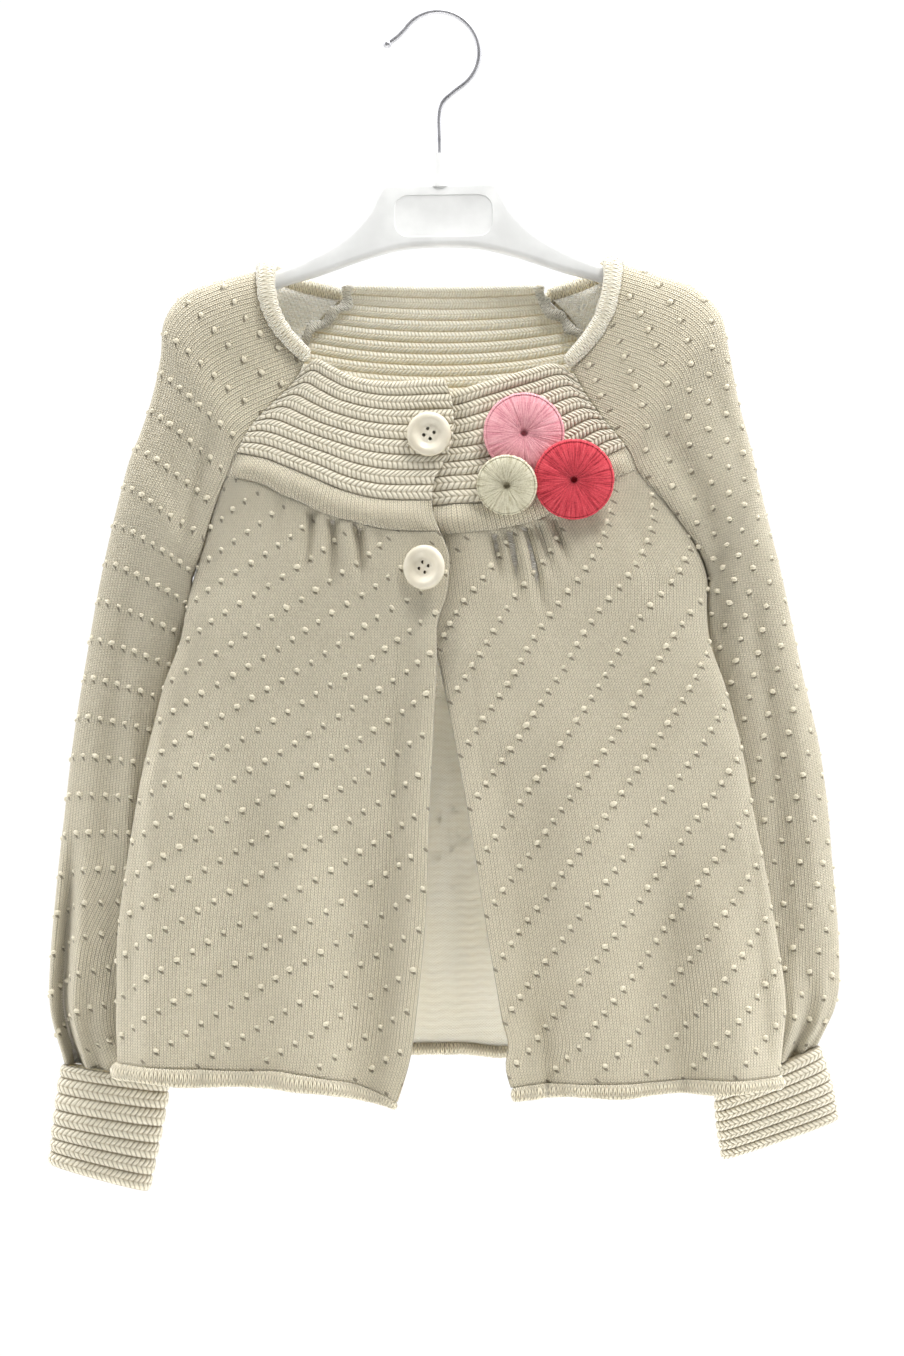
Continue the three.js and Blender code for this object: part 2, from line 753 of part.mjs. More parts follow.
// Turns a closed geometry's faces outwards if its volume comes out negative
function outward(geometry) {
  const p = geometry.getAttribute("position");
  const index = geometry.getIndex();
  const corner = [0, 1, 2].map(() => new THREE.Vector3());
  let volume = 0;
  for (let i = 0; i < index.count; i += 3) {
    corner.forEach((c, k) => c.fromBufferAttribute(p, index.getX(i + k)));
    volume += corner[0].dot(corner[1].clone().cross(corner[2]));
  }
  if (volume < 0) {
    for (let i = 0; i < index.count; i += 3) {
      const kept = index.getX(i + 1);
      index.setX(i + 1, index.getX(i + 2));
      index.setX(i + 2, kept);
    }
  }
  return geometry;
}

const cardigan = new THREE.Group();
function add(name, geometry, colour, parent = cardigan) {
  const [color, roughness] = COLOURS[colour];
  const metalness = colour === "wire" ? 1 : 0;
  const material = new THREE.MeshStandardMaterial({ color, roughness, metalness });
  const mesh = new THREE.Mesh(geometry, material);
  mesh.name = name;
  parent.add(mesh);
  return mesh;
}

// Rounded ridges across a piece: count of them between 0 and 1, three steps to a ridge
const WELT_STEPS = 3;
const weltRows = (count) => spread(count * WELT_STEPS);
const welt = (share, count, high) => high * Math.pow(Math.sin(Math.PI * ((share * count) % 1)), 0.6);

const PANEL_STEP = 1e-5; // share of a panel over which its slope is measured

// A panel of the front between two level lines, with a gap at its top and foot
function frontPanel(side, top, foot, gaps, spec) {
  const line = (name, s) => LINES[side][name](s, "z");
  const point = (u, s) => {
    const zTop = line(top, s) - gaps[0];
    const zFoot = line(foot, s) + gaps[1];
    return frontAt(side, s, lerp(zTop, zFoot, u));
  };
  return wall({ ...spec, point, flip: side === "right", step: PANEL_STEP });
}

function backPanel(top, foot, gaps, spec) {
  const point = (u, s) => {
    const zTop = BACK_LINES[top](s, "z") - gaps[0];
    const zFoot = BACK_LINES[foot](s, "z") + gaps[1];
    return backAt(s, lerp(zTop, zFoot, u));
  };
  return wall({ ...spec, point, flip: true, step: PANEL_STEP });
}

const halfSeam = SEAM / 2;
const yokeRelief = (u) => welt(u, YOKE_WELTS, YOKE_WELT_HIGH);
const bandRelief = (u, s) => BAND_HIGH * Math.sin(Math.PI * u) * (1 - smooth(Math.abs(2 * s - 1), 0.85, 1));
const nearSides = (s) => 1 + 3 * smooth(Math.abs(2 * s - 1), 0.8, 1);

// Where the columns of each front lie closer: at the lap, in the gathers and at the side
const PANEL_ROWS = spread(14, (u) => 1 + 1.6 * (1 - smooth(u, 0.05, 0.3)));
const FRONT_COLUMNS = {
  right: { count: 11, weight: (s) => 1 + 1.5 * smooth(s, 0.85, 1), gathers: [0.16, 0.62] },
  left: { count: 12, weight: (s) => 1 + 2 * (1 - smooth(s, 0.2, 0.34)) + 1.5 * smooth(s, 0.85, 1), gathers: [0.27, 0.68] },
};

function addFronts() {
  for (const side of ["right", "left"]) {
    const { count, weight, gathers } = FRONT_COLUMNS[side];
    const vs = spread(count, weight);
    const yoke = { us: weltRows(YOKE_WELTS), vs, relief: yokeRelief, coarse: WELT_STEPS };
    add("yoke_front_" + side, frontPanel(side, "neck", "bandTop", [0, halfSeam], yoke), "rib");
    const band = { us: spread(4), vs, relief: bandRelief };
    const gaps = [halfSeam, halfSeam];
    add("band_front_" + side, frontPanel(side, "bandTop", "bandFoot", gaps, band), "knit");
    const panel = { us: PANEL_ROWS, vs: refine(vs, ...gathers, 3) };
    add("front_" + side, frontPanel(side, "bandFoot", "hem", [halfSeam, 0], panel), "knit");
  }
}

const backBandColumns = spread(13, nearSides);
const backColumns = refine(backBandColumns, 0, 1, 2);

function addBack() {
  const count = YOKE_WELTS + 1;
  const relief = (u) => welt(u, count, YOKE_WELT_HIGH);
  const yoke = { us: weltRows(count), vs: spread(10), relief, coarse: WELT_STEPS };
  add("yoke_back", backPanel("neck", "bandTop", [0, halfSeam], yoke), "rib");
  const band = { us: spread(4), vs: backBandColumns, relief: bandRelief };
  add("band_back", backPanel("bandTop", "bandFoot", [halfSeam, halfSeam], band), "knit");
  const panel = { us: PANEL_ROWS, vs: backColumns };
  add("back", backPanel("bandFoot", "hem", [halfSeam, 0], panel), "knit");
}

function addSleeves() {
  const rows = [0, 0.5, 1, 1.4, 1.8, 2.2, 2.6, 3, 3.5, 4, 5, 6, 7, 8, 9, 10, 10.7, 11.4, 12, 12.3, 12.6, 12.8, 13];
  const pleated = (v) => 1 + 0.7 * (Math.abs(v - 0.37) < 0.1) + 0.4 * (Math.abs(v - 0.63) < 0.08);
  const columns = spread(17, pleated);
  for (const side of ["right", "left"]) {
    const skin = (row, v) => sleeveAt(side, row, v);
    const point = (row, v) => {
      const p = skin(row, v);
      const depth = pleatDepth(side, row, v);
      if (Math.abs(depth) < 1e-3) return p;
      const lift = v < 0.5 ? -1 : 1;
      const towardsFold = smooth(Math.abs(v - 0.5), 0.02, 0.1);
      return p.setY(p.y + lift * depth * towardsFold);
    };
    const geometry = wall({
      us: rows,
      vs: columns,
      point,
      flip: side === "right",
      closedFrom: rows.indexOf(STRIP_END),
    });
    add("sleeve_" + side, geometry, "knit");
    const cuff = wall({
      us: weltRows(CUFF_WELTS),
      vs: spread(12),
      point: (u, v) => cuffAt(side, u, v),
      relief: (u) => welt(u, CUFF_WELTS, CUFF_WELT_HIGH),
      flip: side === "right",
      closedFrom: 0,
      coarse: WELT_STEPS,
    });
    add("cuff_" + side, cuff, "rib");
  }
}

// The rolled edge of each neck side, from the front raglan seam over the shoulder to the back one
function addNeckRolls() {
  const steps = 14;
  for (const side of ["right", "left"]) {
    const places = spread(steps);
    const frames = places.map((v) => {
      const p = sleeveAt(side, 0, v);
      const down = sleeveAt(side, 0.05, v).sub(p).normalize();
      const along = sleeveAt(side, 0, Math.min(v + 0.02, 1)).sub(sleeveAt(side, 0, Math.max(v - 0.02, 0)));
      along.normalize();
      const wide = down.addScaledVector(along, -down.dot(along)).normalize();
      const thick = wide.clone().cross(along).multiplyScalar(side === "right" ? -1 : 1).normalize();
      return { p, wide, thick };
    });
    const high = (i) => Math.sin(Math.PI * clamp(places[i], 0, 1));
    const sizes = (i) => ({ wide: lerp(3.3, 4.7, high(i)), thick: lerp(2.8, 3.3, high(i)) });
    const line = frames.map(({ p, wide, thick }, i) => {
      const q = p.clone().addScaledVector(wide, -(sizes(i).wide + SEAM));
      return q.addScaledVector(thick, sizes(i).thick - CLOTH);
    });
    add("neck_roll_" + side, tube(line, (i) => frames[i], sizes, 8), "knit");
  }
}

// The rolled hems: a tube under each panel's lower edge
function addHems() {
  const down = new THREE.Vector3(0, 0, 1);
  const roll = (name, points, outwards, size, sides) => {
    const line = points.map((p, i) => {
      const q = p.clone();
      q.z -= size(i) + SEAM;
      return q.addScaledVector(outwards(i), -CLOTH / 2);
    });
    const frame = (i) => ({ wide: outwards(i), thick: down });
    const sizes = (i) => ({ wide: size(i), thick: size(i) });
    add(name, tube(line, frame, sizes, sides), "knit");
  };
  const level = (points) => (i) => {
    const a = points[Math.max(i - 1, 0)];
    const b = points[Math.min(i + 1, points.length - 1)];
    return new THREE.Vector3(b.y - a.y, a.x - b.x, 0).normalize();
  };
  for (const [side, thick, tip] of [
    ["right", 3.9, 2],
    ["left", 3.1, 2.6],
  ]) {
    const places = spread(18, (s) => 1 + 3 * smooth(s, 0.88, 1));
    const points = places.map((s) => frontAt(side, s, LINES[side].hem(s, "z")));
    const turn = side === "right" ? -1 : 1;
    const atSide = new THREE.Vector3(turn, 0, 0);
    const outwards = (i) => (i === points.length - 1 ? atSide : level(points)(i).multiplyScalar(turn));
    const size = (i) => lerp(tip, thick, smooth(places[i], 0, 0.25));
    roll("hem_front_" + side, points, outwards, size, 8);
  }
  const points = backColumns.map((s) => backAt(s, BACK_LINES.hem(s, "z")));
  const outwards = (i) => {
    if (i === 0) return new THREE.Vector3(-1, 0, 0);
    if (i === points.length - 1) return new THREE.Vector3(1, 0, 0);
    return level(points)(i).multiplyScalar(-1);
  };
  roll("hem_back", points, outwards, () => 3.1, 6);
}

const wasm = await Module();
wasm.setup();

function solid(geometry) {
  const bare = geometry.index ? geometry.toNonIndexed() : geometry.clone();
  bare.deleteAttribute("normal");
  bare.deleteAttribute("uv");
  const merged = mergeVertices(bare, 1e-4);
  const mesh = new wasm.Mesh({
    numProp: 3,
    vertProperties: merged.getAttribute("position").array,
    triVerts: new Uint32Array(merged.getIndex().array),
  });
  return new wasm.Manifold(mesh);
}

function geometryOf(manifold) {
  const mesh = manifold.getMesh();
  const geometry = new THREE.BufferGeometry();
  geometry.setAttribute("position", new THREE.BufferAttribute(mesh.vertProperties, 3));
  geometry.setIndex(new THREE.BufferAttribute(mesh.triVerts, 1));
  return geometry;
}

// A round profile turned about Y, facing the front
function turned(profile, sides) {
  const points = profile.map(([r, y]) => new THREE.Vector2(r, y));
  return outward(new THREE.LatheGeometry(points, sides));
}

function buttonGeometry() {
  const dish = BUTTON_R * 0.52;
  const body = solid(
    turned(
      [
        [0, -BUTTON_THICK / 2],
        [BUTTON_R * 0.8, -BUTTON_THICK / 2],
        [BUTTON_R, -0.6],
        [BUTTON_R, 0.6],
        [BUTTON_R * 0.88, BUTTON_THICK / 2 - 0.3],
        [BUTTON_R * 0.7, BUTTON_THICK / 2],
        [dish, BUTTON_THICK / 2 - 0.7],
        [dish * 0.7, BUTTON_THICK / 2 - 1.5],
        [0, BUTTON_THICK / 2 - 1.7],
      ],
      18,
    ),
  );
  let made = body;
  for (let k = 0; k < 4; k++) {
    const angle = (k * Math.PI) / 2 + 0.22;
    const hole = new THREE.CylinderGeometry(BUTTON_HOLE_R, BUTTON_HOLE_R, 2 * BUTTON_THICK, 8);
    hole.translate(BUTTON_HOLE_AT * Math.cos(angle), 0, BUTTON_HOLE_AT * Math.sin(angle));
    made = made.subtract(solid(hole));
  }
  return geometryOf(made);
}

// Each trim is made facing +Y: it is turned over to face -Y, tipped, and turned about Z
function place(mesh, at, tip = 0, turn = 0) {
  mesh.rotation.set(Math.PI + tip, 0, turn, "ZXY");
  mesh.position.set(...at);
}

function addButtons() {
  place(add("button_top", buttonGeometry(), "button"), [-5.4, -21.3, -211.5], 0, 0);
  place(add("button_lower", buttonGeometry(), "button"), [-7.8, -27, -277.5], 0, -0.42);
}

// Wound yarn discs: a puffed ring round a small hole
function discGeometry(radius, high) {
  const hole = 1.6;
  const crown = radius * 0.55;
  const rise = (r) => {
    if (r < crown) return lerp(0.55, 1, Math.sin((Math.PI / 2) * ((r - hole) / (crown - hole))));
    return Math.sqrt(Math.max(0, 1 - Math.pow((r - crown) / (radius - crown), 2.4)));
  };
  const radii = [hole, radius * 0.25, crown, radius * 0.8, radius * 0.94];
  const front = radii.map((r) => [r, (high / 2) * rise(r)]);
  const back = radii.map((r) => [r, (-high / 2) * rise(r) * 0.8]).reverse();
  return turned([...front, [radius, 0], ...back, front[0]], 18);
}

const DISC_COLUMNS = ["name", "colour", "radius", "high", "x", "y", "z", "tip", "turn"];
const DISCS = [
  ["disc_pink", "pink", 20, 7, 41.5, -22.05, -211.2, 0.05, 0],
  ["disc_coral", "coral", 20, 7.4, 66, -25.0, -234.2, 0.18, 0],
  ["disc_cream", "cream", 15, 6.6, 33.0, -25.9, -237.0, 0.2, -0.12],
];

function addDiscs() {
  for (const row of DISCS) {
    const disc = Object.fromEntries(DISC_COLUMNS.map((name, i) => [name, row[i]]));
    const mesh = add(disc.name, discGeometry(disc.radius, disc.high), disc.colour);
    place(mesh, [disc.x, disc.y, disc.z], disc.tip, disc.turn);
  }
}

// Half outline of the hanger seen from the front: the top from the boss to the tip, and the arch
const HANGER_TOP = [
  [27, -84.5],
  [31.5, -89.5],
  [36, -98.5],
  [46.5, -109.5],
  [61, -118.5],
  [80, -126.9],
  [103, -134.8],
  [120, -141.2],
  [127, -145.5],
];
const HANGER_FOOT = [
  [128, -150],
  [123, -153],
  [82.5, -136.5],
  [61, -130],
  [38, -122.3],
  [19, -117.6],
  [0, -116.5],
];

function addHanger() {
  const hanger = new THREE.Group();
  hanger.rotation.y = HANGER_TILT;
  hanger.position.x = -1.2;
  cardigan.add(hanger);

  const half = [...HANGER_TOP, ...HANGER_FOOT];
  const mirrored = half.slice(0, -1).reverse().map(([x, z]) => [-x, z]);
  const inset = HANGER_BEVEL;
  const shape = new THREE.Shape([...half, ...mirrored].map(([x, z]) => new THREE.Vector2(x, z)));
  const plate = new THREE.ExtrudeGeometry(shape, {
    depth: HANGER_THICK - 2 * inset,
    bevelThickness: inset,
    bevelSize: inset,
    bevelOffset: -inset,
    bevelSegments: 1,
  });
  plate.rotateX(Math.PI / 2);
  plate.translate(0, HANGER_THICK / 2 - inset, 0);

  const boss = turned(
    [
      [0, BOSS_FOOT - 2],
      [6.5, BOSS_FOOT - 2],
      [6, BOSS_FOOT + 2],
      [4.2, BOSS_TOP + 4],
      [3.4, BOSS_TOP],
      [0, BOSS_TOP],
    ],
    20,
  );
  boss.rotateX(Math.PI / 2);
  const bore = new THREE.CylinderGeometry(WIRE_R + SEAM, WIRE_R + SEAM, 20, 12);
  bore.rotateX(Math.PI / 2);
  bore.translate(0, 0, WIRE_END - SEAM + 10);

  // A shallow plain recess on each face, where such hangers carry a plate
  const width = 49;
  const height = 21;
  const corner = 7;
  const recess = new THREE.Shape();
  recess.absarc(width / 2 - corner, height / 2 - corner, corner, 0, Math.PI / 2);
  recess.absarc(corner - width / 2, height / 2 - corner, corner, Math.PI / 2, Math.PI);
  recess.absarc(corner - width / 2, corner - height / 2, corner, Math.PI, 1.5 * Math.PI);
  recess.absarc(width / 2 - corner, corner - height / 2, corner, 1.5 * Math.PI, 2 * Math.PI);
  const pocket = new THREE.ExtrudeGeometry(recess, { depth: 4, bevelEnabled: false, curveSegments: 3 });
  pocket.rotateX(Math.PI / 2);
  pocket.translate(1.5, 0, -101.5);
  const depth = 0.8;
  const front = pocket.clone().translate(0, depth - HANGER_THICK / 2, 0);
  const back = pocket.clone().translate(0, HANGER_THICK / 2 - depth + 4, 0);

  const body = solid(plate)
    .add(solid(boss))
    .subtract(solid(bore))
    .subtract(solid(front))
    .subtract(solid(back));
  add("hanger", geometryOf(body), "plastic", hanger);

  // The hook: a wire that rises from the boss, bends aside and turns round the rail
  const centre = new THREE.Vector2(0, WIRE_R - HOOK_R);
  const route = [];
  const tip = [
    [-25.4, -14.6],
    [-20.4, -11],
  ];
  for (const [x, z] of tip) route.push(new THREE.Vector3(x, 0, z));
  const turns = 14;
  const from = THREE.MathUtils.degToRad(146);
  const to = THREE.MathUtils.degToRad(-52);
  for (let k = 0; k <= turns; k++) {
    const angle = lerp(from, to, k / turns);
    const x = centre.x + HOOK_R * Math.cos(angle);
    route.push(new THREE.Vector3(x, 0, centre.y + HOOK_R * Math.sin(angle)));
  }
  const stem = [
    [6, -40],
    [1.6, -44.4],
    [0, -51],
    [0, -62],
    [0, WIRE_END],
  ];
  for (const [x, z] of stem) route.push(new THREE.Vector3(x, 0, z));
  const wire = new THREE.Shape();
  wire.absarc(0, 0, WIRE_R, 0, 2 * Math.PI);
  const hook = new THREE.ExtrudeGeometry(wire, {
    extrudePath: new THREE.CatmullRomCurve3(route),
    steps: 38,
    curveSegments: 4,
  });
  const bead = new THREE.SphereGeometry(2.1, 8, 6).translate(...route[0].toArray());
  add("hook", geometryOf(solid(hook).add(solid(bead))), "wire");
}

addHanger();
addFronts();
addBack();
addSleeves();
addNeckRolls();
addHems();
addButtons();
addDiscs();

export default cardigan;
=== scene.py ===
# A baby cardigan in cream knit on its hanger. Tables and sizes are in millimetres, in the part's frame:
# +Z is up, -Y is the front, +X is the wearer's left. Meshes are written in metres.
import math

import bmesh
import bpy
import numpy as np
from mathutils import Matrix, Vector


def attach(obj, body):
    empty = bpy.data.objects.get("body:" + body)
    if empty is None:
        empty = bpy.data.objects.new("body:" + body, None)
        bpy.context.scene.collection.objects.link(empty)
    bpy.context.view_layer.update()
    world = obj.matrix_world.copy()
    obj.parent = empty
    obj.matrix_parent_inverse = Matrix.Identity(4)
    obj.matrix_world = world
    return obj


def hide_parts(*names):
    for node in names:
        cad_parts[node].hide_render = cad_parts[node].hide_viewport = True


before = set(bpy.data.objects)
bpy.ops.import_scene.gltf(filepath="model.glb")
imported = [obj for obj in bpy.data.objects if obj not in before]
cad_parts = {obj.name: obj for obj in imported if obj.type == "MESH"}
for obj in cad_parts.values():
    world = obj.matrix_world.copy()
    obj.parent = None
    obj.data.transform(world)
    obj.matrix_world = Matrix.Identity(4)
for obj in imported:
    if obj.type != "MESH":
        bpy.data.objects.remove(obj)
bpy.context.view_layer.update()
scene = bpy.context.scene

MM = 0.001

# The cloth
CLOTH = 2.2
SEAM = 0.12
SIDE_SEAM = 0.3
YOKE_WELTS = 8
BACK_WELTS = 9
YOKE_WELT_HIGH = 1.05
CUFF_WELTS = 7
CUFF_WELT_HIGH = 1.15
BAND_HIGH = 2.9
GATHER_GAIN = 2.3
FOLD_GAIN = 1.9
ARMPIT = -282
TUCK_END = -330
UNDER_LAP = 4.4
SIDE_FOLD = 5.5
TUCK_WIDTH = 72
SECTION_POWER = 3.4
SLEEVE_POWER = 2.6

# The stitches
WALE = 1.83  # width of a stitch in the plain knit
COURSE = 1.36  # height of a stitch in the plain knit
WALE_AT_NECK = 2.35  # the sleeves are knitted looser over the shoulders
RIB_LOOP = 2.52  # width of a loop in the welts
PLAIN_LEAN = 0.85
RIB_LEAN = 0.95  # how many loops the two legs of a V lean in a welt
RIB_LOOP_HIGH = 0.6  # how far a loop stands out of its welt
DOT_HIGH = 1.0  # how far a raised dot stands out of the plain knit

# The hanger and trims
HANGER_THICK = 11
HANGER_BEVEL = 3
HANGER_TILT = -0.014
HANGER_SHIFT = -1.2
WIRE_R = 1.4
HOOK_R = 20.4
BOSS_TOP = -74
BOSS_FOOT = -85
WIRE_END = -83
BUTTON_R = 11
BUTTON_THICK = 4.6
BUTTON_HOLE_R = 0.85
BUTTON_HOLE_AT = 2.6
NECK_BEND = 7  # how far the rolled neck edges bow out between the yoke and the shoulder


def lerp(a, b, t):
    return a + (b - a) * t


def smooth(x, low, high):
    t = np.clip((np.asarray(x, float) - low) / (high - low), 0, 1)
    return t * t * (3 - 2 * t)


def unit(v):
    return v / np.maximum(np.linalg.norm(v, axis=-1, keepdims=True), 1e-12)


class Table:
    """Rows under named columns. table(key, column) follows a smooth line through the rows."""

    def __init__(self, columns, rows):
        self.columns = columns.split()
        self.rows = np.array(rows, float)
        if self.rows[-1, 0] < self.rows[0, 0]:
            self.rows = self.rows[::-1]

    def __call__(self, key, column):
        keys = self.rows[:, 0]
        values = self.rows[:, self.columns.index(column)]
        last = len(keys) - 1
        i = np.clip(np.searchsorted(keys, key, side="right") - 1, 0, last - 1)
        step = keys[i + 1] - keys[i]
        t = np.clip((key - keys[i]) / step, 0, 1)

        def slope(k):
            a, b = np.maximum(k - 1, 0), np.minimum(k + 1, last)
            return (values[b] - values[a]) / (keys[b] - keys[a])

        bend = t * t * (3 - 2 * t)
        leave = slope(i) * step * t * (1 - t) ** 2
        arrive = slope(i + 1) * step * t * t * (1 - t)
        return values[i] + (values[i + 1] - values[i]) * bend + leave - arrive


# The outer edge of each front: the raglan seam down to the armpit, and the side fold below it
FRONT_EDGE = {
  "right": Table("z x y", [
    [-168, -64, -12],
    [-184, -71.5, -12.5],
    [-196, -83, -12.8],
    [-207, -93.5, -12.8],
    [-220, -100.5, -12.5],
    [-232, -106, -12],
    [-248, -112, -10],
    [-266, -117.5, -6.5],
    [-282, -123, 0],
    [-298, -126.5, -4.5],
    [-314, -129, -7],
    [-336, -137, -9.5],
    [-380, -148, -9.5],
    [-422, -155, -9.5],
    [-461, -160, -9.5],
    [-500, -160.5, -9.5],
    [-545, -160, -9.5],
  ]),
  "left": Table("z x y", [
    [-168, 58, -12],
    [-179, 65, -12.5],
    [-193, 73, -12.8],
    [-202, 79.5, -12.8],
    [-219, 93, -12.5],
    [-230, 98, -12],
    [-240, 107.5, -11],
    [-254, 119, -8.5],
    [-266, 127, -5],
    [-282, 133.5, 0],
    [-298, 133.2, -4.5],
    [-314, 134.5, -7],
    [-336, 141.5, -9.5],
    [-366, 150, -9.5],
    [-404, 157, -9.5],
    [-461, 167.5, -9.5],
    [-493, 171.5, -9.5],
    [-514, 170, -9.5],
    [-545, 167.5, -9.5],
  ]),
}

# The back's raglan seams. Below the armpit the back ends at the same side folds
BACK_RAGLAN = {
  "right": Table("z x y", [
    [-133, -45.5, 12],
    [-141, -48, 12.3],
    [-150, -57, 12.6],
    [-160, -67, 12.8],
    [-180, -81.5, 12.8],
    [-200, -92, 12.6],
    [-220, -101, 12],
    [-240, -109, 10],
    [-262, -116.5, 6.5],
    [-282, -123, 0],
  ]),
  "left": Table("z x y", [
    [-133, 50.5, 12],
    [-141, 54, 12.3],
    [-150, 63, 12.6],
    [-160, 70.5, 12.8],
    [-180, 81.5, 12.8],
    [-200, 91.5, 12.6],
    [-220, 102, 12],
    [-240, 112.5, 10],
    [-262, 124, 6],
    [-282, 133.5, 0],
  ]),
}

# The edge of each front at the centre. The wearer's right front lies over the left one
OPENING = {
  "right": Table("z x", [
    [-168, 0],
    [-184, 2.5],
    [-195, 6],
    [-212, 6.4],
    [-226, 1.5],
    [-234, -2.9],
    [-243, -3.9],
    [-252, -2.9],
    [-261, 0.8],
    [-271, 4.5],
    [-282, 4.5],
    [-292, 3],
    [-305, -1.2],
    [-322, -1.4],
    [-354, -2.9],
    [-404, -5.3],
    [-449, -6.8],
    [-494, -11.2],
    [-521, -15.2],
    [-545, -23.5],
  ]),
  "left": Table("z x", [
    [-168, -15],
    [-240, -15],
    [-290, -11],
    [-310, -5],
    [-322, -1],
    [-339, 2.5],
    [-366, 8],
    [-410, 15.9],
    [-457, 23.3],
    [-498, 30.6],
    [-512, 34],
    [-524, 32.5],
    [-545, 39.5],
  ]),
}

# How far the middle of the front and of the back lie from the hanger's plane
MIDDLE = Table("z front back", [
  [-134, -12.5, 12.5],
  [-176, -15.5, 15],
  [-220, -18, 17],
  [-282, -20.5, 20],
  [-350, -22.5, 26],
  [-450, -27, 36],
  [-545, -31, 44],
])

# Heights of the level lines across each front, from the centre edge, 0, to the outer edge, 1
LINES = {
  "right": {
    "neck": Table("s z", [
      [0, -183.6],
      [0.15, -184.2],
      [0.4, -185],
      [0.62, -182.3],
      [0.8, -177],
      [0.93, -173.6],
      [1, -179],
    ]),
    "bandTop": Table("s z", [
      [0, -244],
      [0.165, -244],
      [0.275, -243],
      [0.425, -239],
      [0.585, -232.7],
      [0.766, -226.2],
      [0.85, -223.3],
      [1, -220.2],
    ]),
    "bandFoot": Table("s z", [
      [0, -260],
      [0.227, -258.4],
      [0.344, -255.4],
      [0.514, -250],
      [0.596, -245.5],
      [0.71, -241],
      [0.8, -236.5],
      [0.91, -233.7],
      [1, -232.5],
    ]),
    "hem": Table("s z", [
      [0, -540],
      [0.07, -536.5],
      [0.17, -531.5],
      [0.245, -529],
      [0.35, -526.5],
      [0.457, -525],
      [0.56, -525.5],
      [0.77, -524],
      [1, -522.5],
    ]),
 },
  "left": {
    "neck": Table("s z", [
      [0, -192],
      [0.265, -189.4],
      [0.45, -185],
      [0.73, -179],
      [0.93, -176],
      [1, -181.5],
    ]),
    "bandTop": Table("s z", [
      [0, -248],
      [0.167, -246],
      [0.295, -245],
      [0.49, -240],
      [0.71, -231.5],
      [0.906, -221.5],
      [1, -217.5],
    ]),
    "bandFoot": Table("s z", [
      [0, -261.5],
      [0.117, -260.8],
      [0.29, -258.8],
      [0.45, -254.5],
      [0.635, -245.5],
      [0.868, -234],
      [1, -229],
    ]),
    "hem": Table("s z", [
      [0, -533],
      [0.1, -532],
      [0.5, -530.5],
      [1, -529],
    ]),
 },
}

# The same across the back, from the right side, 0, to the left side, 1
BACK_LINES = {
  "neck": Table("s z", [
    [0, -134],
    [0.5, -135],
    [1, -134],
  ]),
  "bandTop": Table("s z", [
    [0, -219],
    [0.25, -232],
    [0.5, -236],
    [0.75, -231],
    [1, -217],
  ]),
  "bandFoot": Table("s z", [
    [0, -232.5],
    [0.25, -246],
    [0.5, -251],
    [0.75, -245],
    [1, -229],
  ]),
  "hem": Table("s z", [
    [0, -522.5],
    [0.2, -521],
    [0.5, -518],
    [0.58, -521],
    [0.65, -518],
    [0.8, -522],
    [1, -529],
  ]),
}

# Gathers under the chest bands and the main folds, each a soft groove (depth below 0) or ridge.
# A fold runs from (x0, z0) down to (x1, z1) and is `wide` each side. It grows over the length
# `rise` below its top, and dies away over the length `fall` above its foot
FOLD_COLUMNS = "x0 z0 x1 z1 wide depth rise fall"
FOLDS = {
  "front_right": [
    [-78, -243, -82, -275, 3.0, -1.3, 2.5, 20],
    [-63, -248, -67, -290, 3.2, -1.9, 2.5, 26],
    [-58, -250, -60, -292, 3.2, 0.7, 2.5, 26],
    [-53, -252, -54, -296, 3.2, -2.0, 2.5, 28],
    [-46.5, -255, -46, -290, 3.4, 0.9, 2.5, 24],
    [-40.5, -256, -38, -292, 3.2, -2.4, 2.5, 26],
    [-31, -258, -28, -280, 3.2, -1.2, 2.5, 18],
    [-20, -330, -30, -545, 7, -1.8, 60, 0],
    [-33, -400, -39, -545, 12, -3.4, 70, 0],
    [-62, -380, -66, -545, 16, 2.6, 80, 0],
    [-92, -330, -98, -545, 15, -2.6, 90, 0],
    [-122, -330, -137, -545, 13, 2.6, 70, 0],
  ],
  "front_left": [
    [27, -259, 30, -290, 3.2, -2.2, 2.5, 22],
    [34.6, -258, 40, -296, 3.2, -2.4, 2.5, 26],
    [38.6, -257, 47, -292, 3.0, 1.4, 2.5, 24],
    [42.5, -256, 54, -310, 3.4, -2.4, 2.5, 34],
    [48.5, -254, 58, -288, 3.2, -1.9, 2.5, 22],
    [55.4, -251, 66, -282, 3.2, -1.6, 2.5, 20],
    [70, -244, 78, -270, 3.2, -1.1, 2.5, 16],
    [25, -340, 50, -545, 7, -1.8, 60, 0],
    [42, -350, 59, -545, 12, -3.2, 80, 0],
    [75, -330, 87, -545, 16, 2.6, 90, 0],
    [112, -410, 121, -545, 11, -4, 60, 0],
    [136, -420, 148, -545, 12, 3.4, 60, 0],
  ],
  "back": [
    [-52, -247, -56, -290, 3.4, -2.3, 2.5, 26],
    [-43, -249, -45, -288, 3.4, -1.7, 2.5, 22],
    [-34, -250, -35, -298, 3.4, -2.4, 2.5, 30],
    [-24, -251, -25, -286, 3.4, -1.5, 2.5, 20],
    [26, -251, 27, -288, 3.4, -1.6, 2.5, 22],
    [36, -250, 38, -298, 3.4, -2.4, 2.5, 30],
    [45, -249, 48, -290, 3.4, -1.8, 2.5, 24],
    [54, -246, 59, -286, 3.4, -2.2, 2.5, 24],
    [-88, -320, -103, -545, 15, -3.2, 80, 0],
    [-48, -340, -57, -545, 15, 3.4, 90, 0],
    [-14, -380, -18, -545, 12, -3.2, 80, 0],
    [3, -330, 3, -545, 9, -3, 60, 0],
    [24, -370, 28, -545, 13, 2.8, 80, 0],
    [62, -340, 71, -545, 14, -3.4, 90, 0],
    [104, -340, 117, -545, 15, 3, 80, 0],
  ],
}

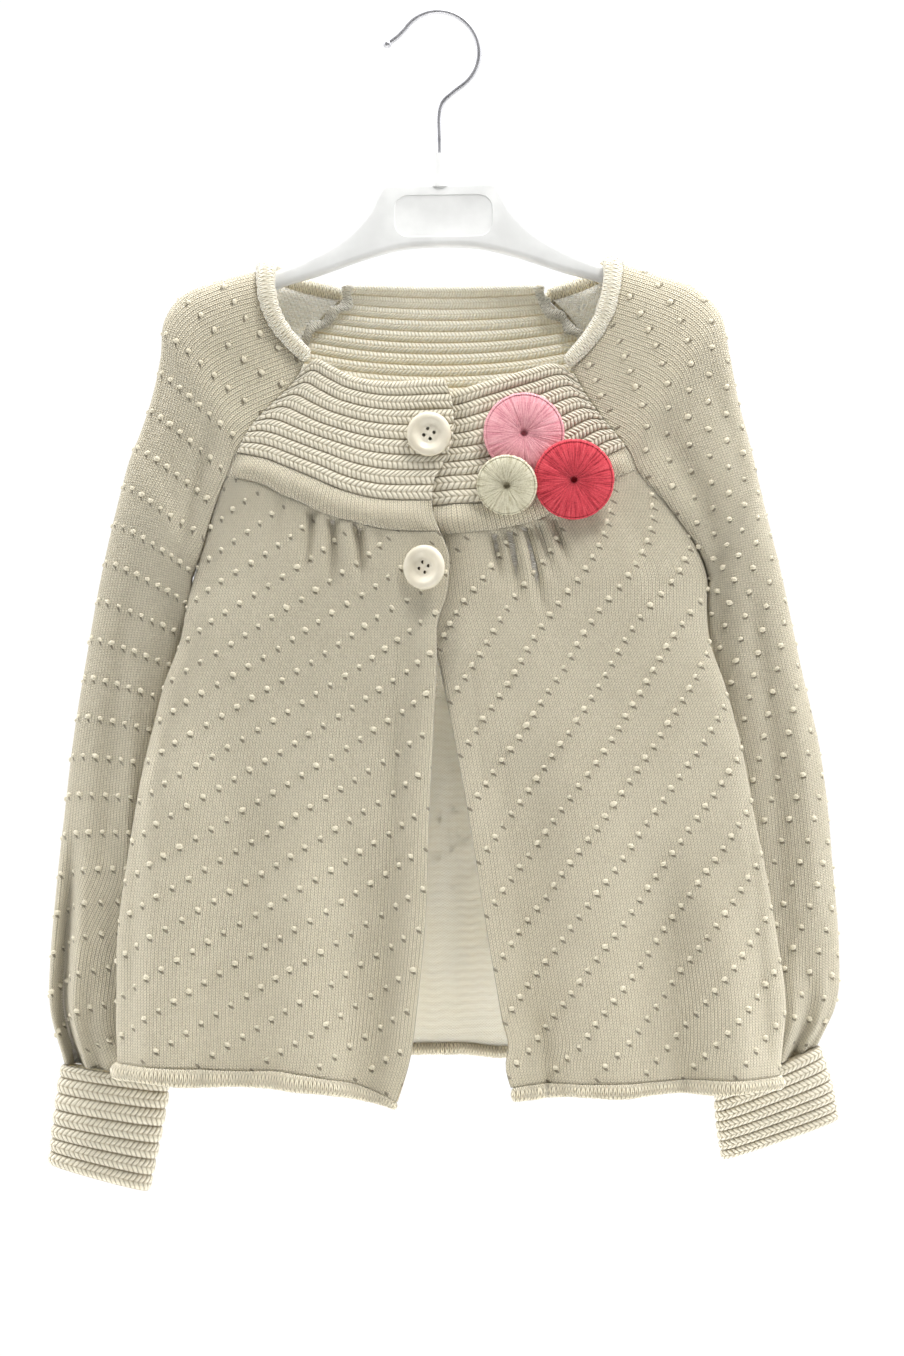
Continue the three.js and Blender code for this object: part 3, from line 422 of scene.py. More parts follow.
# Sleeve sections, one a row, from the neck to the gathers above the cuff. Rows 0 to 7 are an
# open strip over the shoulder, from the front raglan seam at frontZ to the back one at backZ.
# Later rows are a closed tube, whose inner fold is (inX, inZ) and outer fold (outX, outZ).
# `mid` is the y of its middle and `half` its half depth
STRIP_END = 7
TUBE_END = 13
SLEEVE_COLUMNS = "row frontZ backZ inX inZ outX outZ mid half"
SLEEVES = {
  "right": Table(SLEEVE_COLUMNS, [
    [0, -175.5, -142.5, 0, 0, -91.6, -128.9, 0, 14],
    [1, -190, -159, 0, 0, -109.7, -133.6, 0, 14],
    [2, -204, -178, 0, 0, -127.5, -140.4, 0, 12.5],
    [3, -218, -200, 0, 0, -137.5, -153.5, 0, 13.5],
    [4, -232, -222, 0, 0, -139.5, -172.5, 0, 13.5],
    [5, -248, -243, 0, 0, -143.5, -191, 0, 13.5],
    [6, -265, -263, -118.4, -246, -149.5, -209.5, 0, 14],
    [7, -282, -282, -123.65, -282, -156.5, -228, 0, 14.5],
    [8, -282, -282, -128.5, -318, -168, -272, 6.5, 14.5],
    [9, -282, -282, -134, -355, -177, -316, 12, 16],
    [10, -282, -282, -132, -400, -185.5, -366, 15.5, 16],
    [11, -282, -282, -130, -445, -191.5, -420, 15.5, 16.5],
    [12, -282, -282, -130, -490, -196.5, -473, 15.5, 17],
    [12.6, -282, -282, -131.5, -513, -196.5, -500, 15, 16.5],
    [13, -282, -282, -138.5, -533, -189.5, -526, 14, 9],
  ]),
  "left": Table(SLEEVE_COLUMNS, [
    [0, -178.5, -142.5, 0, 0, 91.4, -125.6, 0, 14],
    [1, -192, -159, 0, 0, 109, -130.6, 0, 14],
    [2, -205, -178, 0, 0, 127.5, -137.4, 0, 12.5],
    [3, -218, -200, 0, 0, 140, -150, 0, 13.5],
    [4, -232, -222, 0, 0, 144.5, -169, 0, 13.5],
    [5, -248, -243, 0, 0, 148.8, -191, 0, 13.5],
    [6, -265, -263, 133.9, -246, 154.5, -214, 0, 14],
    [7, -282, -282, 134.15, -282, 160.5, -240, 0, 14.5],
    [8, -282, -282, 134, -318, 171.5, -282, 6.5, 14.5],
    [9, -282, -282, 137, -355, 181.5, -326, 12, 16],
    [10, -282, -282, 135, -400, 192, -372, 15.5, 16],
    [11, -282, -282, 134, -445, 198, -424, 15.5, 16.5],
    [12, -282, -282, 134, -492, 201.5, -476, 15.5, 17],
    [12.6, -282, -282, 136, -517, 199.5, -497, 15, 16.5],
    [13, -282, -282, 140, -539, 190.5, -516.5, 14, 9],
  ]),
}

# Pleats of each sleeve's fullness above the cuff, and its long creases. `at` is the place round
# the tube, from the inner fold by the front, 0, to the outer fold, 0.5, and back behind, 1.
# A pleat starts at a row of the sleeve's table and is deepest at the cuff
PLEATS = {
  "right": [
    {"at": 0.14, "fromRow": 12.3, "wide": 0.028, "deep": -1.8},
    {"at": 0.23, "fromRow": 12.2, "wide": 0.026, "deep": -2.2},
    {"at": 0.325, "fromRow": 11.8, "wide": 0.028, "deep": -3.4},
    {"at": 0.415, "fromRow": 9.8, "wide": 0.034, "deep": -5.2},
    {"at": 0.585, "fromRow": 11.6, "wide": 0.03, "deep": -3.4},
    {"at": 0.67, "fromRow": 12.1, "wide": 0.028, "deep": -2.6},
    {"at": 0.77, "fromRow": 12, "wide": 0.028, "deep": -2.4},
    {"at": 0.88, "fromRow": 12.3, "wide": 0.028, "deep": -1.8},
  ],
  "left": [
    {"at": 0.13, "fromRow": 12.3, "wide": 0.028, "deep": -1.8},
    {"at": 0.24, "fromRow": 12.1, "wide": 0.028, "deep": -2.2},
    {"at": 0.35, "fromRow": 11.7, "wide": 0.03, "deep": -3.8},
    {"at": 0.44, "fromRow": 11.4, "wide": 0.03, "deep": -3.6},
    {"at": 0.59, "fromRow": 11.8, "wide": 0.03, "deep": -3.2},
    {"at": 0.68, "fromRow": 12, "wide": 0.028, "deep": -2.6},
    {"at": 0.78, "fromRow": 12.1, "wide": 0.028, "deep": -2.4},
    {"at": 0.88, "fromRow": 12.3, "wide": 0.028, "deep": -1.8},
  ],
}
# The sleeve folds back beside the raglan seam, from the shoulder to just under the armpit
SHOULDER_CREASE = {"at": 0.13, "wide": 0.05, "deep": -3.6, "rows": [2.5, 5, 7, 9]}

# Cuffs: a tube from top to bottom, with inner and outer folds, the y of its middle and half depth
CUFF_COLUMNS = "down inX inZ outX outZ mid half"
CUFFS = {
  "right": Table(CUFF_COLUMNS, [
    [0, -138.5, -533.6, -189.5, -526.6, 14, 9],
    [0.12, -137.5, -539, -190.8, -531.5, 14, 9.5],
    [0.5, -141.5, -562, -194, -553, 14.5, 9.5],
    [1, -147.5, -590.5, -196.6, -577, 15, 9],
  ]),
  "left": Table(CUFF_COLUMNS, [
    [0, 140, -539.9, 190.5, -517.4, 14, 9],
    [0.12, 139.5, -544.5, 192.5, -522, 15.5, 9.5],
    [0.5, 141, -559, 198, -538, 22, 9.5],
    [1, 144.5, -577, 202, -557, 31, 9],
  ]),
}

DISC_COLUMNS = "name colour radius high x y z tip turn"
DISCS = [
  ["disc_pink", "pink", 20, 7, 41.5, -22.05, -211.2, 0.05, 0],
  ["disc_coral", "coral", 20, 7.4, 66, -25.0, -234.2, 0.18, 0],
  ["disc_cream", "cream", 15, 6.6, 33.0, -25.9, -237.0, 0.2, -0.12],
]

# Half outline of the hanger seen from the front: the top from the boss to the tip, and the arch
HANGER_TOP = [
  [27, -84.5],
  [31.5, -89.5],
  [36, -98.5],
  [46.5, -109.5],
  [61, -118.5],
  [80, -126.9],
  [103, -134.8],
  [120, -141.2],
  [127, -145.5],
]
HANGER_FOOT = [
  [128, -150],
  [123, -153],
  [82.5, -136.5],
  [61, -130],
  [38, -122.3],
  [19, -117.6],
  [0, -116.5],
]


# Smaller creases than the solids have, in the same columns
FINE_FOLDS = {
  "front_right": [
    [-70, -246, -73, -272, 2.2, -0.7, 2.5, 16],
    [-36, -258, -33, -278, 2.2, 0.7, 2.5, 14],
    [-96, -240, -110, -300, 5, -0.8, 20, 30],
    [-148, -350, -154, -530, 3, -0.8, 60, 20],
    [-108, -440, -120, -545, 7, -1.1, 50, 0],
    [-78, -420, -80, -545, 6, -0.9, 60, 0],
    [-48, -470, -54, -545, 5, 0.9, 40, 0],
    [-20.5, -300, -23.5, -430, 1.6, -0.8, 20, 60],
    [-140, -330, -146, -545, 7, 1.4, 50, 0],
    [-7, -290, -14, -490, 6, 1.3, 30, 40],
  ],
  "front_left": [
    [31, -258, 34, -280, 2.0, 0.8, 2.5, 14],
    [50, -253, 56, -280, 2.2, 0.8, 2.5, 16],
    [62, -248, 72, -278, 2.4, -0.8, 2.5, 18],
    [90, -240, 112, -300, 5, -0.8, 20, 30],
    [150, -360, 163, -530, 3.2, -0.9, 60, 20],
    [95, -430, 104, -545, 6, -1.0, 60, 0],
    [66, -460, 70, -545, 6, 1.2, 40, 0],
    [44, -500, 52, -545, 4, 2.2, 20, 0],
    [14, -310, 36, -520, 1.6, -0.8, 20, 30],
    [31, -262, 46, -332, 8, -2.0, 25, 90],
    [51, -494, 53, -545, 3, -3.4, 30, 0],
  ],
  "back": [
    [-70, -420, -78, -545, 6, 0.9, 60, 0],
    [44, -430, 48, -545, 6, -0.9, 60, 0],
    [84, -440, 92, -545, 6, 1.0, 60, 0],
  ],
}


def fold_depth(piece, x, z):
    total = 0
    for x0, z0, x1, z1, wide, depth, rise, fall in FOLDS[piece] + FINE_FOLDS[piece]:
        if z1 > -320 and abs(depth) > 1.5:
            wide, depth = wide * 0.85, depth * GATHER_GAIN
        elif wide > 5:
            depth = depth * FOLD_GAIN
        along = np.clip((z - z0) / (z1 - z0), 0, 1)
        off = (x - lerp(x0, x1, along)) / wide
        grown = smooth(z0 - z, 0, rise)
        left = smooth(z - z1, 0, fall) if fall else 1
        total = total + depth * grown * left * np.exp(-off * off)
    return total


def side_gap(z):
    return SIDE_SEAM / 2 * smooth(-z, -ARMPIT - 4, -ARMPIT)


def section_depth(rho, z):
    """Depth of a section from its middle, 1, to its edge, 0: round at a side fold, flat at a raglan seam."""
    turned = np.maximum(0, 1 - rho**SECTION_POWER) ** (1 / SECTION_POWER)
    return lerp(turned, 1 - rho**3, smooth(z, ARMPIT, ARMPIT + 40))


def front_at(side, s, z):
    """A piece of the front at height z: s runs from the centre edge to the outer edge."""
    y_edge = FRONT_EDGE[side](z, "y")
    y_middle = MIDDLE(z, "front")
    x = lerp(OPENING[side](z, "x"), FRONT_EDGE[side](z, "x"), s)
    y = y_edge - side_gap(z) + (y_middle - y_edge) * section_depth(s, z)
    if side == "left":
        lap_edge = OPENING["right"](z, "x")
        under = 1 - smooth(x, lap_edge - 2, lap_edge + 13)
        y = y + UNDER_LAP * under * lerp(0.35, 1, smooth(z, -380, -330))
    y = y - fold_depth("front_" + side, x, z) * (1 - smooth(s, 0.96, 1))
    return np.stack([x, y, z], -1)


def back_at(s, z):
    """The back at height z: s runs from the right side to the left side."""
    above = z > ARMPIT
    edges = {}
    for side in ("right", "left"):
        for column in ("x", "y"):
            edges[side + column] = np.where(above, BACK_RAGLAN[side](z, column), FRONT_EDGE[side](z, column))
    x = lerp(edges["rightx"], edges["leftx"], s)
    on_right = s < 0.5
    y_edge = np.where(on_right, edges["righty"], edges["lefty"])
    y_middle = MIDDLE(z, "back")
    rho = np.abs(2 * s - 1)
    inner = {side: abs(float(SLEEVES[side](9, "inX"))) - 4 for side in ("right", "left")}
    reach = np.where(on_right, inner["right"], inner["left"])
    swell = 1 - smooth(np.abs(x), reach - TUCK_WIDTH, reach)
    side_share = SIDE_FOLD / (y_middle - y_edge)
    fold = np.maximum(0, 1 - rho**16) ** 0.25
    tucked = side_share * fold + (1 - side_share) * swell
    share = lerp(tucked, section_depth(rho, z), smooth(z, TUCK_END, ARMPIT))
    inside = 1 - smooth(rho, 0.94, 1)
    y = y_edge + side_gap(z) + (y_middle - y_edge) * share + fold_depth("back", x, z) * inside
    return np.stack([x, y, z], -1)


RING_STEPS = 40


def section_point(start, end, turn, mid, half, end_depth, way):
    """Half a sleeve's section, from the outer fold, turn 0, to the seam, turn 1."""
    cos = np.cos(turn * np.pi)
    power = 2 / SLEEVE_POWER
    across = np.sign(cos) * np.abs(cos) ** power
    deep = np.abs(np.sin(turn * np.pi)) ** power
    depth = np.where(turn < 0.5, half * deep, lerp(end_depth, half, deep))
    centre = lerp(start, end, ((1 - across) / 2)[:, None])
    return np.stack([centre[:, 0], mid + way * depth, centre[:, 2]], -1)


def even(points, shares):
    """Places at even shares along a line of points."""
    steps = np.linalg.norm(np.diff(points, axis=0), axis=1)
    lengths = np.concatenate([[0], np.cumsum(steps)])
    return np.stack([np.interp(shares * lengths[-1], lengths, points[:, k]) for k in range(3)], -1)


def sleeve_ring(side, row, vs):
    """One row of the sleeve's skin, at places vs from the front seam, 0, to the back one, 1."""
    at = {name: float(SLEEVES[side](row, name)) for name in SLEEVE_COLUMNS.split()[1:]}
    out = np.array([at["outX"], 0, at["outZ"]])
    way = -1 if side == "right" else 1
    turn = np.linspace(0, 1, RING_STEPS + 1)
    halves = []
    for edge, z, facing in ((FRONT_EDGE[side], at["frontZ"], -1), (BACK_RAGLAN[side], at["backZ"], 1)):
        if row < 7:
            seam, depth = np.array([float(edge(z, "x")) + way * SIDE_SEAM, 0, z]), abs(float(edge(z, "y")))
        else:
            tuck = 1.1 * float(smooth(row, 7, 7.3) * (1 - smooth(row, 7.6, 8.2)))
            seam, depth = np.array([at["inX"] - way * tuck, 0, at["inZ"]]), 0
        halves.append(section_point(out, seam, turn, at["mid"], at["half"], depth, facing))
    front = even(halves[0][::-1], np.clip(vs * 2, 0, 1))
    back = even(halves[1], np.clip(vs * 2 - 1, 0, 1))
    return np.where((vs <= 0.5)[:, None], front, back)


def pleat_depth(side, row, v):
    total = 0
    for pleat in PLEATS[side]:
        off = (v - pleat["at"]) / pleat["wide"]
        total = total + pleat["deep"] * smooth(row, pleat["fromRow"], 12.85) * np.exp(-off * off)
    crease = SHOULDER_CREASE
    off = (v - crease["at"]) / crease["wide"]
    rows = crease["rows"]
    shoulder = smooth(row, rows[0], rows[1]) * (1 - smooth(row, rows[2], rows[3]))
    return total + crease["deep"] * shoulder * np.exp(-off * off)


def sleeve_at(side, rows, vs):
    """The sleeve's skin on a grid of rows and places round it."""
    points = np.stack([sleeve_ring(side, row, vs) for row in rows])
    depth = pleat_depth(side, rows[:, None], vs[None, :])
    depth = depth + sleeve_creases(side, rows[:, None], vs[None, :])
    lift = np.where(vs < 0.5, -1, 1) * smooth(np.abs(vs - 0.5), 0.02, 0.1)
    points[..., 1] += depth * lift[None, :]
    return points + neck_bend(side, rows[:, None], vs[None, :])


def neck_bend(side, row, v):
    """The neck edges bow outwards and down in front, and less behind."""
    front = np.sin(np.pi * np.clip(v / 0.44, 0, 1))
    behind = 0.45 * np.sin(np.pi * np.clip((1 - v) / 0.44, 0, 1))
    bow = NECK_BEND * (front + behind) * (1 - smooth(row, 0, 3.2))
    way = -1 if side == "right" else 1
    return bow[..., None] * np.array([0.92 * way, 0, -0.39])


# Soft creases along the sleeves: place round, first row, last row, width and depth
SLEEVE_CREASES = {
  "right": [
    [0.3, 7.5, 11.5, 0.035, -1.3],
    [0.22, 8.5, 12.4, 0.03, 1.0],
    [0.68, 7, 11.5, 0.05, -1.6],
    [0.8, 8, 12, 0.04, 1.2],
    [0.4, 3, 7, 0.05, -0.9],
    [0.41, 10.6, 14.2, 0.028, -6.2],
    [0.36, 10.8, 13.8, 0.03, 2.2],
    [0.46, 10.8, 13.6, 0.025, 1.6],
  ],
  "left": [
    [0.28, 7.5, 12, 0.035, -1.4],
    [0.38, 8.5, 11.8, 0.03, 0.9],
    [0.7, 7, 11.8, 0.05, -1.6],
    [0.6, 8, 12, 0.04, 1.0],
    [0.36, 3, 7, 0.05, -0.9],
    [0.36, 12, 14.2, 0.022, -2.6],
    [0.3, 11.4, 14, 0.03, 1.8],
  ],
}


def sleeve_creases(side, row, v):
    total = 0
    for at, first, last, wide, deep in SLEEVE_CREASES[side]:
        shown = smooth(row, first, first + 1.2) * (1 - smooth(row, last - 1, last))
        total = total + deep * shown * np.exp(-(((v - at) / wide) ** 2))
    return total * 1.4


def cuff_at(side, down, v):
    at = {name: CUFFS[side](down, name) for name in CUFF_COLUMNS.split()[1:]}
    power = 2 / SLEEVE_POWER
    cos, sin = np.cos(v * 2 * np.pi), np.sin(v * 2 * np.pi)
    across = np.sign(cos) * np.abs(cos) ** power
    deep = np.sign(sin) * np.abs(sin) ** power
    share = (1 - across) / 2
    x = lerp(at["inX"], at["outX"], share)
    return np.stack([x, at["mid"] - at["half"] * deep, lerp(at["inZ"], at["outZ"], share)], -1)


# Meshes


class Builder:
    """Gathers points and faces, with a place on the flat cloth at each corner."""

    def __init__(self):
        self.points, self.corners, self.sizes, self.uvs, self.slots = [], [], [], [], []
        self.count = 0

    def add(self, points):
        points = np.asarray(points, float)
        self.points.append(points.reshape(-1, 3))
        index = np.arange(self.count, self.count + points[..., 0].size).reshape(points.shape[:-1])
        self.count += index.size
        return index

    def faces(self, corners, uvs, slot=0):
        """corners is faces by corners, and uvs the same with two numbers each."""
        corners = np.asarray(corners)
        self.corners.append(corners.ravel())
        self.sizes.append(np.full(len(corners), corners.shape[1]))
        self.uvs.append(np.asarray(uvs, float).reshape(-1, 2))
        self.slots.append(np.full(len(corners), slot))

    def grid(self, index, uv, slot=0, flip=False):
        def quads(a):
            four = [a[:-1, :-1], a[1:, :-1], a[1:, 1:], a[:-1, 1:]]
            if flip:
                four.reverse()
            return np.stack([q.reshape(-1, *a.shape[2:]) for q in four], 1)

        self.faces(quads(index), quads(uv), slot)

    def strip(self, fine, coarse, uv_fine, uv_coarse, slot=0, flip=False):
        """Joins a fine border to a coarse one, whose steps each span as many fine steps."""
        span = (len(fine) - 1) // (len(coarse) - 1)
        faces, uvs = [], []
        for k in range(len(coarse) - 1):
            a, b = coarse[k], coarse[k + 1]
            half = k * span + (span + 1) // 2
            for t in range(k * span, (k + 1) * span):
                end, uv = (a, uv_coarse[k]) if t < half else (b, uv_coarse[k + 1])
                faces.append([end, fine[t], fine[t + 1]])
                uvs.append([uv, uv_fine[t], uv_fine[t + 1]])
            faces.append([a, fine[half], b])
            uvs.append([uv_coarse[k], uv_fine[half], uv_coarse[k + 1]])
        faces, uvs = np.array(faces), np.array(uvs)
        if flip:
            faces, uvs = faces[:, ::-1], uvs[:, ::-1]
        self.faces(faces, uvs, slot)

    def make(self, name, materials, body="root"):
        mesh = bpy.data.meshes.new(name)
        points = np.concatenate(self.points) * MM
        corners = np.concatenate(self.corners)
        sizes = np.concatenate(self.sizes)
        mesh.vertices.add(len(points))
        mesh.vertices.foreach_set("co", points.astype(np.float32).ravel())
        mesh.loops.add(len(corners))
        mesh.loops.foreach_set("vertex_index", corners.astype(np.int32))
        mesh.polygons.add(len(sizes))
        mesh.polygons.foreach_set("loop_start", np.concatenate([[0], np.cumsum(sizes)[:-1]]).astype(np.int32))
        mesh.polygons.foreach_set("material_index", np.concatenate(self.slots).astype(np.int32))
        layer = mesh.uv_layers.new(name="cloth")
        layer.data.foreach_set("uv", np.concatenate(self.uvs).astype(np.float32).ravel())
        mesh.polygons.foreach_set("use_smooth", np.ones(len(sizes), bool))
        mesh.update(calc_edges=True)
        mesh.validate()
        for material in materials:
            mesh.materials.append(material)
        piece = bpy.data.objects.new(name, mesh)
        scene.collection.objects.link(piece)
        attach(piece, body)
        return piece


def normals(points, flip, wrapped=None):
    """Directions out of a grid of points. `wrapped` marks the rows whose last column is their first."""
    along = np.gradient(points, axis=0)
    across = np.gradient(points, axis=1)
    if wrapped is not None:
        joined = points[wrapped, 1] - points[wrapped, -2]
        across[wrapped, 0] = joined / 2
        across[wrapped, -1] = joined / 2
    n = unit(np.cross(along, across))
    return -n if flip else n


def shell(name, points, uv, materials, relief=0, flip=False, wrapped=None, coarse=1, inner_relief=0, thick=CLOTH):
    """A closed cloth wall: the outside with its relief, the inside `thick` below it, and the rim."""
    n = normals(points, flip, wrapped)
    outside = points + n * np.broadcast_to(relief, points.shape[:2])[..., None]
    inside = (points - n * (thick + np.broadcast_to(inner_relief, points.shape[:2])[..., None]))[::coarse, ::coarse]
    uv_in = uv[::coarse, ::coarse]
    made = Builder()
    outer, inner = made.add(outside), made.add(inside)
    if wrapped is not None:
        outer[wrapped, -1] = outer[wrapped, 0]
        inner[wrapped[::coarse], -1] = inner[wrapped[::coarse], 0]
    made.grid(outer, uv, 0, flip)
    made.grid(inner, uv_in, 1, not flip)
    made.strip(outer[0], inner[0], uv[0], uv_in[0], 0, flip)
    made.strip(outer[-1], inner[-1], uv[-1], uv_in[-1], 0, not flip)
    rows = len(outer)
    if wrapped is not None:
        rows = int(np.argmax(wrapped)) + 1 if wrapped.any() else rows
    if rows > 1:
        rows_in = (rows - 1) // coarse + 1
        made.strip(outer[:rows, 0], inner[:rows_in, 0], uv[:rows, 0], uv_in[:rows_in, 0], 0, not flip)
        made.strip(outer[:rows, -1], inner[:rows_in, -1], uv[:rows, -1], uv_in[:rows_in, -1], 0, flip)
    return made.make(name, materials)


def arc(points):
    """Distance along a line of points."""
    return np.concatenate([[0], np.cumsum(np.linalg.norm(np.diff(points, axis=0), axis=1))])


def even_columns(line, count):
    """count + 1 shares along a line, at even distances on it, and its length. line(s) gives its points."""
    s = np.linspace(0, 1, 3001)
    lengths = arc(line(s))
    return np.interp(np.linspace(0, lengths[-1], count + 1), lengths, s), lengths[-1]


def loops(x, y, lean=PLAIN_LEAN):
    """Height, 0 to 1, of rows of V stitches: x counts stitches across and y counts rows down."""
    off = np.abs(x - np.floor(x) - 0.5)
    leg = np.clip(1 - ((off - 0.24) / 0.27) ** 2, 0, 1)
    rise = y + 2 * lean * off
    rise = rise - np.floor(rise)
    return np.sqrt(leg * np.maximum(0, 4 * rise * (1 - rise)))


def side_loops(uv):
    """V stitches of a welt, which is knitted sideways: one V spans each welt."""
    return loops(uv[..., 1], uv[..., 0], RIB_LEAN)


def welts(share, count):
    """Rounded ridges across a piece."""
    return np.abs(np.sin(np.pi * share * count)) ** 0.5


def soft_noise(shape, seed, cells):
    """Even, smooth noise from -1 to 1 on a grid, with about `cells` swells down and across."""
    rng = np.random.default_rng(seed)
    knots = rng.uniform(-1, 1, (cells[0] + 3, cells[1] + 3))

    def soften(a, n, axis):
        at = np.linspace(1, a.shape[axis] - 2.001, n)
        i = np.floor(at).astype(int)
        t = at - i
        t = t * t * (3 - 2 * t)
        keep = [1, 1]
        keep[axis] = n
        t = t.reshape(keep)
        return np.take(a, i, axis) * (1 - t) + np.take(a, i + 1, axis) * t

    return soften(soften(knots, shape[0], 0), shape[1], 1)


dots = []


def front_panel(side, top, foot, gaps, u, s):
    z_top = LINES[side][top](s, "z") - gaps[0]
    z_foot = LINES[side][foot](s, "z") + gaps[1]
    z = lerp(z_top[None, :], z_foot[None, :], u[:, None])
    return front_at(side, np.broadcast_to(s, z.shape), z)


def back_panel(top, foot, gaps, u, s):
    z_top = BACK_LINES[top](s, "z") - gaps[0]
    z_foot = BACK_LINES[foot](s, "z") + gaps[1]
    z = lerp(z_top[None, :], z_foot[None, :], u[:, None])
    return back_at(np.broadcast_to(s, z.shape), z)


def knit_uv(s, line, wales, heights):
    """Stitches across and courses down at each point of a panel."""
    across = np.interp(s, np.linspace(0, 1, 3001), arc(line(np.linspace(0, 1, 3001))))
    across = across / across[-1] * wales
    return np.stack(np.broadcast_arrays(across[None, :], heights / COURSE), -1)


def build_fronts():
    half = SEAM / 2
    for side in ("right", "left"):
        flip = side == "right"

        def at_hem(s):
            return front_at(side, s, np.full_like(s, -450.0))

        def at_yoke(s):
            return front_at(side, s, np.full_like(s, -212.0))

        # The body panel
        s, width = even_columns(at_hem, 111)
        u = np.linspace(0, 1, 202)
        points = front_panel(side, "bandFoot", "hem", (half, 0), u, s)
        heights = -points[..., 2]
        wales = round(width / WALE)
        uv = knit_uv(s, at_hem, wales, heights) * [-1 if flip else 1, 1]
        swell = 0.35 * soft_noise(points.shape[:2], 11 + flip, (14, 7))
        edge = smooth(s, 0, 0.05)[None, :]
        panel = shell("knit_front_" + side, points, uv, knit["front_" + side], relief=swell * edge, flip=flip, coarse=3)
        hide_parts("front_" + side)
        scatter_dots(side, s, at_hem, wales, points, uv, flip)

        # The chest band and the yoke
        s, width = even_columns(at_yoke, 240)
        rows = np.linspace(0, 1, 16)
        points = front_panel(side, "bandTop", "bandFoot", (half, half), rows, s[::2])
        puff = BAND_HIGH * np.sin(np.pi * rows)[:, None] * (1 - smooth(np.abs(2 * s[::2] - 1), 0.85, 1))[None, :]
        uv = knit_uv(s[::2], at_yoke, width / WALE, -points[..., 2])
        band = shell("knit_band_front_" + side, points, uv, knit["band"], relief=puff, flip=flip, coarse=3)
        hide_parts("band_front_" + side)

        u = np.linspace(0, 1, YOKE_WELTS * 12 + 1)
        points = front_panel(side, "neck", "bandTop", (0, half), u, s)
        across = knit_uv(s, at_yoke, width / RIB_LOOP, points[..., 2])[..., 0]
        uv = np.stack([across, np.broadcast_to(u[:, None] * YOKE_WELTS, across.shape)], -1)
        relief = welts(u, YOKE_WELTS)[:, None] * (YOKE_WELT_HIGH + RIB_LOOP_HIGH * (side_loops(uv) - 0.4))
        yoke = shell("knit_yoke_front_" + side, points, uv, knit["rib"], relief=relief, flip=flip, coarse=3)
        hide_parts("yoke_front_" + side)


def build_back():
    half = SEAM / 2

    def at_hem(s):
        return back_at(s, np.full_like(s, -450.0))

    def at_yoke(s):
        return back_at(s, np.full_like(s, -200.0))

    s, width = even_columns(at_hem, 200)
    u = np.linspace(0, 1, 151)
    points = back_panel("bandFoot", "hem", (half, 0), u, s)
    wales = round(width / WALE)
    uv = knit_uv(s, at_hem, wales, -points[..., 2])
    swell = 0.35 * soft_noise(points.shape[:2], 5, (14, 14))
    panel = shell("knit_back", points, uv, knit["back"], relief=swell, flip=True, coarse=2)
    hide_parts("back")
    scatter_dots("back", s, at_hem, wales, points, uv, True)

    s, width = even_columns(at_yoke, 396)
    rows = np.linspace(0, 1, 17)
    points = back_panel("bandTop", "bandFoot", (half, half), rows, s[::3])
    puff = BAND_HIGH * np.sin(np.pi * rows)[:, None] * (1 - smooth(np.abs(2 * s[::3] - 1), 0.85, 1))[None, :]
    uv = knit_uv(s[::3], at_yoke, width / WALE, -points[..., 2])
    band = shell("knit_band_back", points, uv, knit["band"], relief=puff, flip=True, coarse=2)
    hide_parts("band_back")

    u = np.linspace(0, 1, BACK_WELTS * 10 + 1)
    points = back_panel("neck", "bandTop", (0, half), u, s)
    across = knit_uv(s, at_yoke, width / RIB_LOOP, points[..., 2])[..., 0]
    uv = np.stack([across, np.broadcast_to(u[:, None] * BACK_WELTS, across.shape)], -1)
    stitches = RIB_LOOP_HIGH * (side_loops(uv) - 0.4)
    relief = welts(u, BACK_WELTS)[:, None] * (YOKE_WELT_HIGH + stitches)
    behind = 0.9 * welts(u, 2 * BACK_WELTS)[:, None] + 0.5 * stitches - 0.5
    yoke = shell("knit_yoke_back", points, uv, knit["rib_back"], relief=relief, inner_relief=behind, flip=True)
    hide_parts("yoke_back")


def build_sleeves():
    for side in ("right", "left"):
        flip = side == "right"
        rows = np.concatenate([np.linspace(0, 7, 85)[:-1], np.linspace(7, 13, 121)])
        vs = np.linspace(0, 1, 121)
        points = sleeve_at(side, rows, vs)
        wrapped = rows >= 7
        around = np.stack([arc(line) for line in points])
        middle = around - around[:, [len(vs) // 2]]
        wale = lerp(WALE_AT_NECK, WALE, smooth(rows, 1, 7))[:, None]
        down = arc(points[:, len(vs) // 2])[:, None] / COURSE
        uv = np.stack(np.broadcast_arrays(middle / wale * (-1 if flip else 1), down), -1)
        swell = 0.3 * soft_noise(points.shape[:2], 21 + flip, (16, 7))
        swell[:, 0] = swell[:, -1] = 0
        materials = knit["sleeve_" + side]
        sleeve = shell("knit_sleeve_" + side, points, uv, materials, relief=swell, flip=flip, wrapped=wrapped, coarse=2)
        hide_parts("sleeve_" + side)
        scatter_sleeve_dots(side, rows, vs, points, uv, flip, wrapped)

        down = np.linspace(0, 1, CUFF_WELTS * 9 + 1)
        vs = np.linspace(0, 1, 265)
        points = cuff_at(side, down[:, None], vs[None, :])
        around = arc(points[30])
        uv = np.stack(np.broadcast_arrays(around[None, :] / RIB_LOOP, down[:, None] * CUFF_WELTS), -1)
        loop = RIB_LOOP_HIGH * 0.9 * (side_loops(uv) - 0.4)
        relief = welts(down, CUFF_WELTS)[:, None] * (CUFF_WELT_HIGH + loop)
        closed = np.ones(len(down), bool)
        cuff = shell("knit_cuff_" + side, points, uv, knit["rib"], relief=relief, flip=flip, wrapped=closed, coarse=3)
        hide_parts("cuff_" + side)


